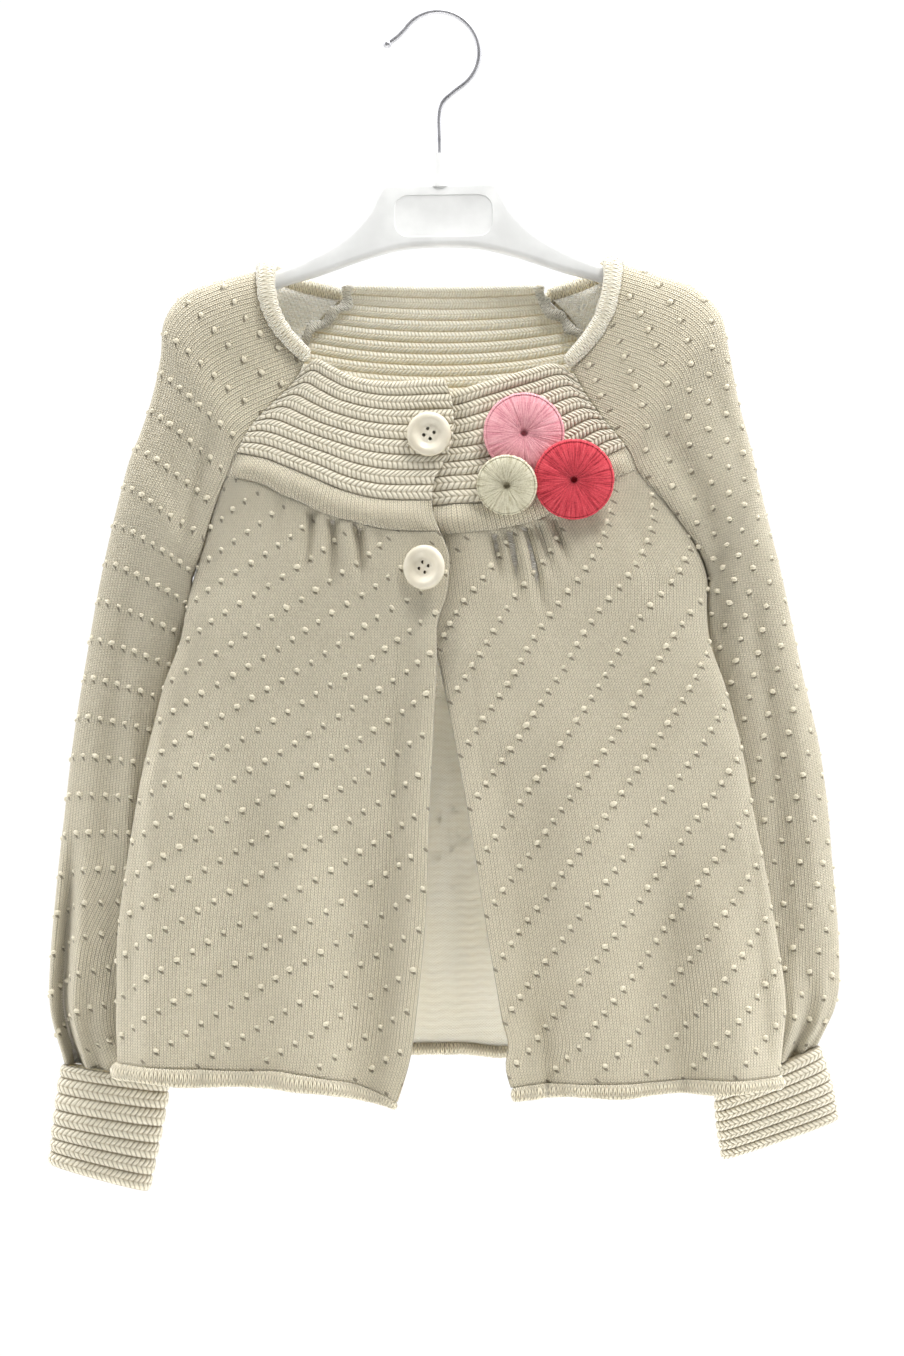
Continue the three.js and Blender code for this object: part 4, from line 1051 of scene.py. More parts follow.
# Raised dots on the plain knit. `step` is the way to the next dot in a row and `row` the way to the
# next row, in stitches across and courses down
DOT_LATTICE = {
  "front_right": {"step": (4.1, -3.25), "row": (-0.5, 14.7), "start": (1.5, 3.0)},
  "front_left": {"step": (3.0, -4.2), "row": (2.9, 15.1), "start": (2.0, 1.0)},
  "back": {"step": (4.1, -3.25), "row": (-0.5, 14.7), "start": (1.0, 2.0)},
  "sleeve_right": {"step": (4.1, -2.6), "row": (0, 14.7), "start": (0.5, 1.0)},
  "sleeve_left": {"step": (2.7, -7.0), "row": (1.9, 17.6), "start": (0.2, 1.0)},
}


def dot_places(name, uv, margin):
    """Stitch places of the dots within the range of a panel's stitches."""
    lattice = DOT_LATTICE[name]
    step, row, start = (np.array(lattice[k], float) for k in ("step", "row", "start"))
    low = uv.reshape(-1, 2).min(0) + margin
    high = uv.reshape(-1, 2).max(0) - margin
    corners = np.array([[low[0], low[1]], [high[0], low[1]], [low[0], high[1]], [high[0], high[1]]])
    counts = np.linalg.solve(np.stack([step, row], 1), (corners - start).T)
    i0, j0 = np.floor(counts.min(1)).astype(int)
    i1, j1 = np.ceil(counts.max(1)).astype(int)
    i, j = np.meshgrid(np.arange(i0, i1 + 1), np.arange(j0, j1 + 1), indexing="ij")
    at = start + i[..., None] * step + j[..., None] * row
    at = at.reshape(-1, 2)
    inside = np.all((at > low) & (at < high), axis=1)
    return at[inside]


DOT_RINGS = [(1.0, -0.25), (0.9, 0.4), (0.52, 0.86)]
DOT_SIDES = 8


def scatter(name, centres, out, across, down):
    """One mesh of raised dots: small rounded bumps, wider than high, each a little different."""
    if not len(centres):
        return
    rng = np.random.default_rng(len(centres))
    n = len(centres)
    size = 1 + 0.14 * rng.standard_normal((n, 1)).clip(-1.5, 1.5)
    lean = 0.25 * rng.standard_normal((n, 1)).clip(-1.5, 1.5)
    made = Builder()
    angles = np.arange(DOT_SIDES) * 2 * np.pi / DOT_SIDES
    rings = []
    for wide, high in DOT_RINGS:
        x = 1.5 * wide * np.cos(angles)
        y = 1.2 * wide * np.sin(angles)
        ring = centres[:, None, :] + out[:, None, :] * (high * DOT_HIGH * size[:, None])
        ring = ring + across[:, None, :] * (x[None, :, None] + lean[:, None] * y[None, :, None]) * size[:, None]
        ring = ring + down[:, None, :] * (y[None, :, None] - 0.12 * high) * size[:, None]
        rings.append(made.add(ring))
    tip = made.add(centres + out * DOT_HIGH * size)
    around = np.roll(np.arange(DOT_SIDES), -1)
    turned = np.linalg.det(np.stack([across, down, out], -1)).mean() > 0
    for a, b in zip(rings, rings[1:]):
        quads = np.stack([a, a[:, around], b[:, around], b], -1).reshape(-1, 4)
        made.faces(quads if turned else quads[:, ::-1], np.zeros((len(quads), 4, 2)))
    a = rings[-1]
    caps = np.stack([a, a[:, around], np.broadcast_to(tip[:, None], a.shape)], -1).reshape(-1, 3)
    made.faces(caps if turned else caps[:, ::-1], np.zeros((len(caps), 3, 2)))
    piece = made.make(name, [materials["dot"]])
    dots.append(piece)


def sample(grid, rows, columns, r, c):
    """Values of a grid at places between its rows and columns."""
    i = np.clip(np.searchsorted(rows, r) - 1, 0, len(rows) - 2)
    j = np.clip(np.searchsorted(columns, c) - 1, 0, len(columns) - 2)
    t = ((r - rows[i]) / (rows[i + 1] - rows[i]))[:, None]
    w = ((c - columns[j]) / (columns[j + 1] - columns[j]))[:, None]
    top = lerp(grid[i, j], grid[i, j + 1], w)
    return lerp(top, lerp(grid[i + 1, j], grid[i + 1, j + 1], w), t)


def scatter_dots(side, s, line, wales, points, uv, flip):
    name = "back" if side == "back" else "front_" + side
    at = dot_places(name, uv, np.array([1.2, 2.2]))
    way = -1 if uv[0, -1, 0] < uv[0, 0, 0] else 1
    c = np.interp(at[:, 0] * way, uv[0, :, 0] * way, np.arange(len(s)))
    columns = np.arange(len(s), dtype=float)
    rows = np.arange(len(points), dtype=float)
    # The row of each dot, from the courses of its own column
    nearest = np.clip(np.rint(c).astype(int), 0, len(s) - 1)
    r = np.array([np.interp(v, uv[:, k, 1], rows, left=-1, right=-1) for v, k in zip(at[:, 1], nearest)])
    keep = (r > 5) & (r < len(rows) - 4)
    r, c = r[keep], c[keep]
    n = normals(points, flip)
    centres = sample(points, rows, columns, r, c)
    out = unit(sample(n, rows, columns, r, c))
    down = unit(sample(np.gradient(points, axis=0), rows, columns, r, c))
    down = unit(down - out * np.sum(down * out, 1, keepdims=True))
    across = np.cross(down, out)
    scatter("dots_" + name, centres, out, across, down)


def scatter_sleeve_dots(side, rows, vs, points, uv, flip, wrapped):
    name = "sleeve_" + side
    at = dot_places(name, uv, np.array([0.5, 2.0]))
    down_at = uv[:, 0, 1]
    index = np.arange(len(rows), dtype=float)
    columns = np.arange(len(vs), dtype=float)
    r = np.interp(at[:, 1], down_at, index)
    near = np.clip(np.rint(r).astype(int), 0, len(rows) - 1)
    way = -1 if flip else 1
    c = np.array([np.interp(v * way, uv[k, :, 0] * way, columns, left=-1, right=-1) for v, k in zip(at[:, 0], near)])
    keep = (c > 3) & (c < len(vs) - 4) & (r > 2) & (r < len(rows) - 5)
    r, c = r[keep], c[keep]
    n = normals(points, flip, wrapped)
    centres = sample(points, index, columns, r, c)
    out = unit(sample(n, index, columns, r, c))
    down = unit(sample(np.gradient(points, axis=0), index, columns, r, c))
    down = unit(down - out * np.sum(down * out, 1, keepdims=True))
    across = np.cross(down, out)
    scatter("dots_" + name, centres, out, across, down)


def rolled(name, node, line, wide_way, thick_way, wide, thick, stitch, materials, sides=18):
    """A rolled edge: an oval tube along a line, with rows of stitches round it and closed, rounded ends."""
    n = len(line)
    angles = np.linspace(0, 2 * np.pi, sides + 1)
    along = arc(line) / stitch
    uv = np.stack(np.broadcast_arrays(along[:, None], angles[None, :] / (2 * np.pi) * sides / 3), -1)
    relief = 0.6 * (loops(uv[..., 0], uv[..., 1]) - 0.35)
    end = np.minimum(arc(line), arc(line)[-1] - arc(line))
    taper = np.sqrt(np.clip(1 - (1 - np.clip(end / 2.2, 0, 1)) ** 2, 0.02, 1))[:, None]
    w = (np.broadcast_to(wide, n)[:, None] + relief) * taper
    t = (np.broadcast_to(thick, n)[:, None] + relief) * taper
    ring = line[:, None, :] + wide_way[:, None, :] * (w * np.cos(angles))[..., None]
    ring = ring + thick_way[:, None, :] * (t * np.sin(angles))[..., None]
    made = Builder()
    index = made.add(ring[:, :-1])
    index = np.concatenate([index, index[:, :1]], 1)
    tangent = unit(np.gradient(line, axis=0))
    flip = float(np.sum(np.cross(wide_way[n // 2], thick_way[n // 2]) * tangent[n // 2])) > 0
    made.grid(index, uv, 0, flip)
    for row, turned in ((0, flip), (n - 1, not flip)):
        tip = made.add(line[[row]])
        a = index[row]
        faces = np.stack([np.full(sides, tip[0]), a[:-1], a[1:]], 1)
        made.faces(faces[:, ::-1] if turned else faces, np.zeros((sides, 3, 2)))
    piece = made.make(name, materials)
    if node:
        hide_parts(node)
    return piece


def build_neck_rolls():
    for side in ("right", "left"):
        vs = np.linspace(0, 1, 141)
        line, below = sleeve_at(side, np.array([0, 0.05]), vs)
        down = unit(below - line)
        along = unit(np.gradient(line, axis=0))
        wide_way = unit(down - along * np.sum(down * along, 1, keepdims=True))
        thick_way = unit(np.cross(wide_way, along)) * (-1 if side == "right" else 1)
        high = np.sin(np.pi * vs)
        wide, thick = lerp(3.3, 4.7, high), lerp(2.8, 3.3, high)
        line = line - wide_way * (wide + SEAM)[:, None] + thick_way * (thick - CLOTH)[:, None]
        roll = rolled("rolled_neck_" + side, "neck_roll_" + side, line, wide_way, thick_way, wide, thick, 1.9, knit["roll"])
        trims.append(roll)


# Edges of the raglan seams that curl up inside the back of the neck: places on them, x and z
SEAM_CURLS = {
  "right": [(-45.6, -134.5), (-46.4, -142), (-50.5, -147), (-57, -151.5), (-63, -156), (-69, -161.5), (-73, -167)],
  "left": [(50.6, -134.5), (50.8, -142), (54.5, -147), (60.5, -151.5), (66, -156), (71, -161.5), (74, -167)],
}


def build_seam_curls():
    for side, places in SEAM_CURLS.items():
        shares = np.linspace(0, 1, 90)
        at = np.array(places, float)
        knots = np.linspace(0, 1, len(at))
        line = np.stack([np.interp(shares, knots, at[:, 0]), np.full(90, 8.2), np.interp(shares, knots, at[:, 1])], -1)
        for _ in range(12):
            line[1:-1] = (line[:-2] + 2 * line[1:-1] + line[2:]) / 4
        along = unit(np.gradient(line, axis=0))
        front = np.broadcast_to([0, -1.0, 0], line.shape)
        wide_way = unit(np.cross(along, front))
        wave = np.sin(shares * 2 * np.pi * 3.3 + (0.6 if side == "left" else 0))
        line = line + wide_way * (1.1 * wave)[:, None] + front * (0.8 * np.cos(shares * 17))[:, None]
        wide = 2.5 + 0.5 * np.cos(shares * 29)
        curl = rolled("seam_curl_" + side, None, line, wide_way, front, wide, 1.5, 1.9, knit["roll"], 12)
        trims.append(curl)


def build_hems():
    up = np.array([0, 0, 1.0])
    for side, thick, tip in (("right", 4.2, 2.2), ("left", 3.4, 3.4)):
        s, width = even_columns(lambda v: front_at(side, v, LINES[side]["hem"](v, "z")), 300)
        line = front_at(side, s, LINES[side]["hem"](s, "z"))
        size = lerp(tip, thick, smooth(s, 0, 0.25))
        out = hem_way(line, -1 if side == "right" else 1)
        out[-1] = [-1 if side == "right" else 1, 0, 0]
        size = size * (1 + 0.08 * np.sin(s * 19))
        line = line - up * (size + SEAM)[:, None] - out * CLOTH / 2
        ups = np.broadcast_to(up, line.shape)
        rolled("rolled_hem_front_" + side, "hem_front_" + side, line, out, ups, size, size, WALE, knit["hem"])
    s, width = even_columns(lambda v: back_at(v, BACK_LINES["hem"](v, "z")), 480)
    line = back_at(s, BACK_LINES["hem"](s, "z"))
    out = hem_way(line, -1)
    out[0], out[-1] = [-1, 0, 0], [1, 0, 0]
    line = line - up * (3.1 + SEAM) - out * CLOTH / 2
    ups = np.broadcast_to(up, line.shape)
    rolled("rolled_hem_back", "hem_back", line, out, ups, 3.1, 3.1, WALE, knit["hem"])


def hem_way(line, way):
    step = np.gradient(line, axis=0)
    return unit(np.stack([step[:, 1], -step[:, 0], np.zeros(len(line))], -1)) * way


class Tree:
    """A material's nodes, written as sums."""

    def __init__(self, name):
        self.material = bpy.data.materials.new(name)
        self.material.use_nodes = True
        self.tree = self.material.node_tree
        self.tree.nodes.clear()
        self.output = self.add("ShaderNodeOutputMaterial")

    def add(self, kind, **values):
        node = self.tree.nodes.new(kind)
        for name, value in values.items():
            setattr(node, name, value)
        return node

    def put(self, value, socket):
        if isinstance(value, bpy.types.NodeSocket):
            self.tree.links.new(value, socket)
        elif value is not None:
            socket.default_value = value

    def math(self, operation, *values, clamp=False):
        node = self.add("ShaderNodeMath", operation=operation, use_clamp=clamp)
        for value, socket in zip(values, node.inputs):
            self.put(value, socket)
        return node.outputs[0]

    def ramp(self, value, low, high, out_low=0.0, out_high=1.0):
        node = self.add("ShaderNodeMapRange", interpolation_type="SMOOTHSTEP")
        for given, socket in zip((value, low, high, out_low, out_high), node.inputs):
            self.put(given, socket)
        return node.outputs[0]

    def mix(self, share, a, b, blend="MIX"):
        node = self.add("ShaderNodeMix", data_type="RGBA", blend_type=blend)
        self.put(share, node.inputs[0])
        self.put(a, node.inputs[6])
        self.put(b, node.inputs[7])
        return node.outputs[2]

    def noise(self, scale, detail=2.0, vector=None, rough=0.5):
        node = self.add("ShaderNodeTexNoise")
        node.inputs["Scale"].default_value = scale
        node.inputs["Detail"].default_value = detail
        node.inputs["Roughness"].default_value = rough
        self.put(vector if vector is not None else self.place(), node.inputs["Vector"])
        return node.outputs["Fac"]

    def place(self):
        return self.add("ShaderNodeTexCoord").outputs["Object"]

    def uv(self):
        node = self.add("ShaderNodeUVMap", uv_map="cloth")
        split = self.add("ShaderNodeSeparateXYZ")
        self.put(node.outputs[0], split.inputs[0])
        return split.outputs[0], split.outputs[1]

    def bump(self, height, distance, strength=1.0, normal=None):
        node = self.add("ShaderNodeBump")
        node.inputs["Strength"].default_value = strength
        node.inputs["Distance"].default_value = distance
        self.put(height, node.inputs["Height"])
        if normal is not None:
            self.put(normal, node.inputs["Normal"])
        return node.outputs[0]

    def shade(self, colour, roughness=0.9, normal=None, sheen=0.0, coat=0.0, metallic=0.0, sub=0.0):
        shader = self.add("ShaderNodeBsdfPrincipled")
        self.put(colour, shader.inputs["Base Color"])
        self.put(roughness, shader.inputs["Roughness"])
        if normal is not None:
            self.put(normal, shader.inputs["Normal"])
        shader.inputs["Sheen Weight"].default_value = sheen
        shader.inputs["Sheen Roughness"].default_value = 0.6
        shader.inputs["Coat Weight"].default_value = coat
        shader.inputs["Metallic"].default_value = metallic
        shader.inputs["Subsurface Weight"].default_value = sub
        shader.inputs["Subsurface Radius"].default_value = (1.0, 0.92, 0.8)
        shader.inputs["Subsurface Scale"].default_value = 0.003 + 0.01 * sub
        self.tree.links.new(shader.outputs[0], self.output.inputs[0])
        return shader


def srgb(*values):
    linear = [v / 255 / 12.92 if v <= 10 else ((v / 255 + 0.055) / 1.055) ** 2.4 for v in values]
    return (*linear, 1)


def stitches(t, x, y, lean=PLAIN_LEAN):
    """Height, 0 to 1, of V stitches. x counts stitches across and y counts courses down."""
    off = t.math("ABSOLUTE", t.math("SUBTRACT", t.math("FRACT", x), 0.5))
    side = t.math("DIVIDE", t.math("SUBTRACT", off, 0.24), 0.27)
    leg = t.math("SUBTRACT", 1.0, t.math("MULTIPLY", side, side), clamp=True)
    rise = t.math("FRACT", t.math("MULTIPLY_ADD", off, lean * 2, y))
    arch = t.math("MULTIPLY", t.math("MULTIPLY", rise, 4.0), t.math("SUBTRACT", 1.0, rise))
    return t.math("SQRT", t.math("MULTIPLY", leg, arch, clamp=True))


def purls(t, x, y):
    """Height, 0 to 1, of the bars on the wrong side of plain knit."""
    wave = t.math("SINE", t.math("MULTIPLY", x, 2 * math.pi))
    rise = t.math("FRACT", t.math("MULTIPLY_ADD", wave, 0.4, y))
    arch = t.math("MULTIPLY", t.math("MULTIPLY", rise, 4.0), t.math("SUBTRACT", 1.0, rise))
    return t.math("SQRT", arch, clamp=True)


def dot_hollows_and_shadows(t, x, y, lattice):
    """1 in the small hollow under each raised dot, where the dot's shadow is painted."""
    (ax, ay), (bx, by) = lattice["step"], lattice["row"]
    sx, sy = lattice["start"]
    det = ax * by - bx * ay
    px = t.math("SUBTRACT", x, sx + 0.15)
    py = t.math("SUBTRACT", y, sy + 1.15)
    i = t.math("SUBTRACT", t.math("MULTIPLY", px, by / det), t.math("MULTIPLY", py, bx / det))
    j = t.math("SUBTRACT", t.math("MULTIPLY", py, ax / det), t.math("MULTIPLY", px, ay / det))
    i = t.math("SUBTRACT", t.math("FRACT", t.math("ADD", i, 0.5)), 0.5)
    j = t.math("SUBTRACT", t.math("FRACT", t.math("ADD", j, 0.5)), 0.5)
    dx = t.math("MULTIPLY", t.math("MULTIPLY_ADD", i, ax, t.math("MULTIPLY", j, bx)), WALE)
    dy = t.math("MULTIPLY", t.math("MULTIPLY_ADD", i, ay, t.math("MULTIPLY", j, by)), COURSE)
    dy = t.math("MULTIPLY_ADD", dx, -0.5, dy)
    far = t.math("ADD", t.math("POWER", t.math("ABSOLUTE", t.math("DIVIDE", dx, 1.5)), 2.0),
                 t.math("POWER", t.math("ABSOLUTE", t.math("DIVIDE", dy, 0.9)), 2.0))
    return t.ramp(far, 0.3, 1.5, 1.0, 0.0)


CREAM = srgb(238, 229, 204)
# A darker copy of the cream for the welts, which the side light made too bright: painted shade.
CREAM_SHADED = srgb(226, 219, 200)
# The colour painted in the hollows of the stitches: painted shade.
CREAM_SHADE_IN_HOLLOWS = srgb(132, 118, 84)
# A lighter copy of the cream for the rolled edges: painted light.
CREAM_LIT = srgb(246, 240, 222)
# The inside's lighter copy of the cream: painted light standing in for light through the cloth.
WARM_LIT = srgb(254, 247, 230)
# The colour painted in the hollows of the inside's stitches: painted shade.
WARM_SHADE_IN_HOLLOWS = srgb(214, 199, 168)


def knit_material(name, lattice=None, bump=0.0007, deep=CREAM_SHADE_IN_HOLLOWS, light=CREAM, contrast=0.72, wrong_side=False,
                  rib=False, glow=0.0, net=False, rows=1):
    """Knitted cotton. Its stitches are counted by the cloth's own places."""
    t = Tree(name)
    x, y = t.uv()
    if rows != 1:
        y = t.math("MULTIPLY", y, float(rows))
    if rib:
        height = stitches(t, y, x, RIB_LEAN)
    elif wrong_side:
        height = purls(t, x, y)
    else:
        height = stitches(t, x, y)
    fibre = t.noise(900, 3.0)
    patch = t.noise(14, 3.0)
    # The low parts of each stitch are painted toward `deep`: painted shade in the stitch hollows.
    open_ = t.ramp(height, 0.12, 0.9)
    share = t.math("MULTIPLY_ADD", open_, contrast, 1 - contrast)
    share = t.math("MULTIPLY", share, t.ramp(patch, 0.25, 0.75, 0.88, 1.0))
    share = t.math("ADD", share, t.ramp(fibre, 0.3, 0.7, -0.09, 0.07), clamp=True)
    colour = t.mix(share, deep, light)
    relief = t.math("MULTIPLY_ADD", fibre, 0.18, height)
    if wrong_side:
        # The purl ripples are painted darker where they sink: painted shade.
        sway = t.math("SINE", t.math("MULTIPLY", x, 1.1))
        ripple = t.math("SINE", t.math("MULTIPLY_ADD", y, 2.1, t.math("MULTIPLY", sway, 0.8)))
        colour = t.mix(t.ramp(ripple, -0.4, 1.0, 0.0, 0.14), colour, deep)
        relief = t.math("SUBTRACT", relief, t.math("MULTIPLY", ripple, 0.16))
    if not wrong_side:
        # The grooves between the wales, or between the welts of a rib, are sunk and painted darker: painted shade.
        off = t.math("ABSOLUTE", t.math("SUBTRACT", t.math("FRACT", y if rib else x), 0.5))
        groove = t.ramp(off, 0.4 if rib else 0.34, 0.5)
        colour = t.mix(t.math("MULTIPLY", groove, 0.2 if glow > 0.45 else 0.3), colour, srgb(128, 112, 76))
        relief = t.math("SUBTRACT", relief, t.math("MULTIPLY", groove, 0.6))
    if net:
        # The holes of the open knit are painted near white: painted light showing through them.
        hole_x = t.math("SUBTRACT", t.math("FRACT", t.math("MULTIPLY", x, 0.7)), 0.5)
        hole_y = t.math("SUBTRACT", t.math("FRACT", t.math("MULTIPLY", y, 0.7)), 0.5)
        hole = t.math("ADD", t.math("POWER", t.math("ABSOLUTE", hole_x), 2.0), t.math("POWER", t.math("ABSOLUTE", hole_y), 2.0))
        hole = t.ramp(hole, 0.02, 0.09, 1.0, 0.0)
        colour = t.mix(hole, colour, srgb(255, 250, 236))
        relief = t.math("SUBTRACT", relief, hole)
    if lattice:
        # Under each raised dot the cloth dips and is painted dark: painted shadow of the dot.
        dot_hollow_and_shadow = dot_hollows_and_shadows(t, x, y, lattice)
        colour = t.mix(t.math("MULTIPLY", dot_hollow_and_shadow, 0.68), colour, srgb(104, 92, 64))
        relief = t.math("SUBTRACT", relief, t.math("MULTIPLY", dot_hollow_and_shadow, 1.1))
    normal = t.bump(relief, bump)
    t.shade(colour, 0.92, normal, sheen=0.2, sub=glow)
    return t.material


knit = {}
inside_plain = knit_material("knit_inside", bump=0.0012, deep=WARM_SHADE_IN_HOLLOWS, light=WARM_LIT, contrast=0.9, wrong_side=True, glow=0.6)
inside_net = knit_material("knit_inside_open", deep=WARM_SHADE_IN_HOLLOWS, light=WARM_LIT, contrast=0.4, wrong_side=True, glow=0.5, net=True)
rib_outside = knit_material("knit_rib", bump=0.0007, light=CREAM_SHADED, contrast=0.7, rib=True, glow=0.2)
rib_inside = knit_material("knit_rib_inside", bump=0.0008, deep=WARM_SHADE_IN_HOLLOWS, light=WARM_LIT, contrast=0.6, rib=True, glow=0.5)
rib_behind = knit_material("knit_rib_behind", bump=0.0008, deep=WARM_SHADE_IN_HOLLOWS, light=WARM_LIT, contrast=0.6, rib=True, glow=0.5,
                           rows=2)
for key, lattice in DOT_LATTICE.items():
    knit[key] = [knit_material("knit_" + key, lattice, glow=0.15), inside_net if "sleeve" in key else inside_plain]
knit["band"] = [knit_material("knit_plain", contrast=0.65, glow=0.25), inside_plain]
knit["rib"] = [rib_outside, rib_inside]
knit["rib_back"] = [rib_outside, rib_behind]
knit["roll"] = [knit_material("knit_roll", bump=0.0008, light=CREAM_LIT, contrast=0.6, glow=0.6)]
knit["hem"] = [knit_material("knit_hem", bump=0.0008, light=CREAM, contrast=0.75, glow=0.3)]


def dot_material():
    t = Tree("knit_dot")
    fibre = t.noise(1200, 3.0)
    # The dots take a darker copy of the cream than the cloth, as their bumps catch more light: painted shade.
    colour = t.mix(t.ramp(fibre, 0.3, 0.7), srgb(198, 190, 166), srgb(222, 214, 192))
    t.shade(colour, 0.9, t.bump(fibre, 0.0002), sheen=0.2)
    return t.material


materials = {"dot": dot_material()}


trims = []


def lathe(profile, sides=72):
    """A round profile turned about Y, facing -Y. profile is rows of radius and height, back to front."""
    made = Builder()
    angles = np.linspace(0, 2 * np.pi, sides + 1)
    profile = np.array(profile, float)
    r, h = profile[:, 0], profile[:, 1]
    points = np.stack(np.broadcast_arrays(r[:, None] * np.cos(angles), -h[:, None], r[:, None] * np.sin(angles)), -1)
    uv = np.stack(np.broadcast_arrays(angles[None, :] / (2 * np.pi), r[:, None]), -1)
    return made, points, uv


def turn_piece(points, at, tip, turn):
    """Tips a piece's face down and turns it about Z, as in the part, then moves it to its place."""
    ct, st = math.cos(tip), math.sin(tip)
    x, y, z = points[..., 0], points[..., 1], points[..., 2]
    y, z = ct * y - st * z, st * y + ct * z
    cz, sz = math.cos(turn), math.sin(turn)
    x, y = cz * x - sz * y, sz * x + cz * y
    return np.stack([x, y, z], -1) + np.array(at, float)


def round_piece(name, node, profile, at, tip, turn, material, relief=None, sides=72):
    made, points, uv = lathe(profile, sides)
    if relief is not None:
        points = points + relief(points, uv)
    points = turn_piece(points, at, tip, turn)
    index = made.add(points[:, :-1])
    index = np.concatenate([index, index[:, :1]], 1)
    made.grid(index, uv, 0, True)
    for row, turned in ((0, True), (len(index) - 1, False)):
        tip_at = made.add(points[row, :-1].mean(0)[None])
        a = index[row]
        faces = np.stack([np.full(sides, tip_at[0]), a[:-1], a[1:]], 1)
        made.faces(faces[:, ::-1] if turned else faces, np.zeros((sides, 3, 2)))
    piece = made.make(name, [material])
    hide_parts(node)
    return piece


def button_material():
    t = Tree("button_horn")
    cloud = t.noise(120, 3.0)
    colour = t.mix(t.ramp(cloud, 0.3, 0.7), srgb(212, 204, 184), srgb(226, 219, 201))
    t.shade(colour, t.ramp(cloud, 0.3, 0.7, 0.32, 0.44), t.bump(t.noise(400, 2.0), 0.00003), coat=0.15)
    return t.material


def build_buttons():
    horn = button_material()
    # The walls of the four holes are painted dark brown: painted shade in the holes.
    t = Tree("button_hole_shade")
    t.shade(srgb(70, 58, 42), 0.8)
    half = BUTTON_THICK / 2
    crown, dish, floor = BUTTON_R * 0.78, BUTTON_R * 0.5, half - 2.1
    profile = [[0.4, -half], [BUTTON_R * 0.5, -half], [BUTTON_R * 0.8, -half], [BUTTON_R * 0.93, -half + 0.7],
               [BUTTON_R, -0.7], [BUTTON_R, 0.1]]
    for angle in np.linspace(0, math.pi / 2, 10)[1:]:
        profile.append([crown + (BUTTON_R - crown) * math.cos(angle), 0.1 + (half - 0.1) * math.sin(angle)])
    for share in np.linspace(0, 1, 12)[1:]:
        profile.append([lerp(crown, dish * 0.72, share), lerp(half, floor, float(smooth(share, 0.05, 1)))])
    profile += [[dish * 0.4, floor - 0.05], [0.4, floor - 0.05]]
    for name, at, turn in (("button_top", (-5.4, -21.3, -211.5), 0), ("button_lower", (-7.8, -27, -277.5), -0.42)):
        piece = round_piece("coat_" + name, name, profile, at, 0, turn, horn, sides=64)
        piece.data.materials.append(t.material)
        for k in range(4):
            angle = k * math.pi / 2 + 0.24
            x, z = BUTTON_HOLE_AT * math.cos(angle), BUTTON_HOLE_AT * math.sin(angle)
            a = np.arange(16) * 2 * np.pi / 16
            ring = np.stack([x + BUTTON_HOLE_R * np.cos(a), np.zeros(16), z + BUTTON_HOLE_R * np.sin(a)], -1)
            drill = Builder()
            ends = [drill.add(turn_piece(ring + [0, y, 0], at, 0, turn)) for y in (-6, 6)]
            sides = np.stack([ends[0], np.roll(ends[0], -1), np.roll(ends[1], -1), ends[1]], 1)
            drill.faces(sides, np.zeros((16, 4, 2)), 1)
            drill.faces(ends[0][None, ::-1], np.zeros((1, 16, 2)), 1)
            drill.faces(ends[1][None, :], np.zeros((1, 16, 2)), 1)
            carve(piece, drill.make("drill", [horn, t.material]))


def tube(made, line, radius, sides):
    """Adds a round tube with flat ends to a builder."""
    tangent = unit(np.gradient(line, axis=0))
    a = unit(np.cross(tangent, np.array([0.31, 0.2, 0.93])))
    b = np.cross(tangent, a)
    angles = np.arange(sides) * 2 * np.pi / sides
    radius = np.broadcast_to(radius, len(line))[:, None, None]
    ring = line[:, None] + radius * (a[:, None] * np.cos(angles)[None, :, None] + b[:, None] * np.sin(angles)[None, :, None])
    index = made.add(ring)
    index = np.concatenate([index, index[:, :1]], 1)
    along = arc(line)
    uv = np.stack(np.broadcast_arrays(np.linspace(0, 1, sides + 1)[None, :], along[:, None]), -1)
    made.grid(index, uv, 0, True)
    made.faces(index[0, :-1][None, ::-1], np.zeros((1, sides, 2)))
    made.faces(index[-1, :-1][None, :], np.zeros((1, sides, 2)))


def face_out(mesh):
    shape = bmesh.new()
    shape.from_mesh(mesh)
    bmesh.ops.recalc_face_normals(shape, faces=shape.faces)
    shape.to_mesh(mesh)
    shape.free()


def carve(piece, tool, operation="DIFFERENCE"):
    """Cuts tool out of piece, or joins it, and drops the tool."""
    face_out(piece.data)
    face_out(tool.data)
    change = piece.modifiers.new("carve", "BOOLEAN")
    change.operation = operation
    change.solver = "EXACT"
    change.object = tool
    ready = piece.evaluated_get(bpy.context.evaluated_depsgraph_get())
    mesh = bpy.data.meshes.new_from_object(ready)
    piece.modifiers.clear()
    piece.data = mesh
    bpy.data.objects.remove(tool)


def wound_material(name, colour, deep, light):
    """Yarn wound from the rim to the hole: fine radial strands."""
    t = Tree(name)
    x, y = t.uv()
    place = t.add("ShaderNodeCombineXYZ")
    t.put(t.math("MULTIPLY", x, 150.0), place.inputs[0])
    t.put(t.math("MULTIPLY", y, 0.10), place.inputs[1])
    strands = t.noise(1.0, 2.0, place.outputs[0])
    fibre = t.noise(1300, 3.0)
    # The strands' tone follows their relief, darker in the gaps and lighter on top: painted shade and painted
    # highlight.
    share = t.math("MULTIPLY_ADD", t.ramp(fibre, 0.3, 0.7), 0.3, t.math("MULTIPLY", t.ramp(strands, 0.3, 0.7), 0.7))
    tone = t.mix(t.ramp(share, 0.1, 0.6), deep, colour)
    tone = t.mix(t.ramp(share, 0.6, 1.0, 0.0, 0.7), tone, light)
    # The yarn is painted darker towards the centre hole: painted shade in the hole.
    near = t.ramp(y, 1.2, 3.6, 1.0, 0.0)
    tone = t.mix(t.math("MULTIPLY", near, 0.8), tone, deep)
    relief = t.math("MULTIPLY_ADD", fibre, 0.3, strands)
    t.shade(tone, 0.9, t.bump(relief, 0.0004), sheen=0.1)
    return t.material


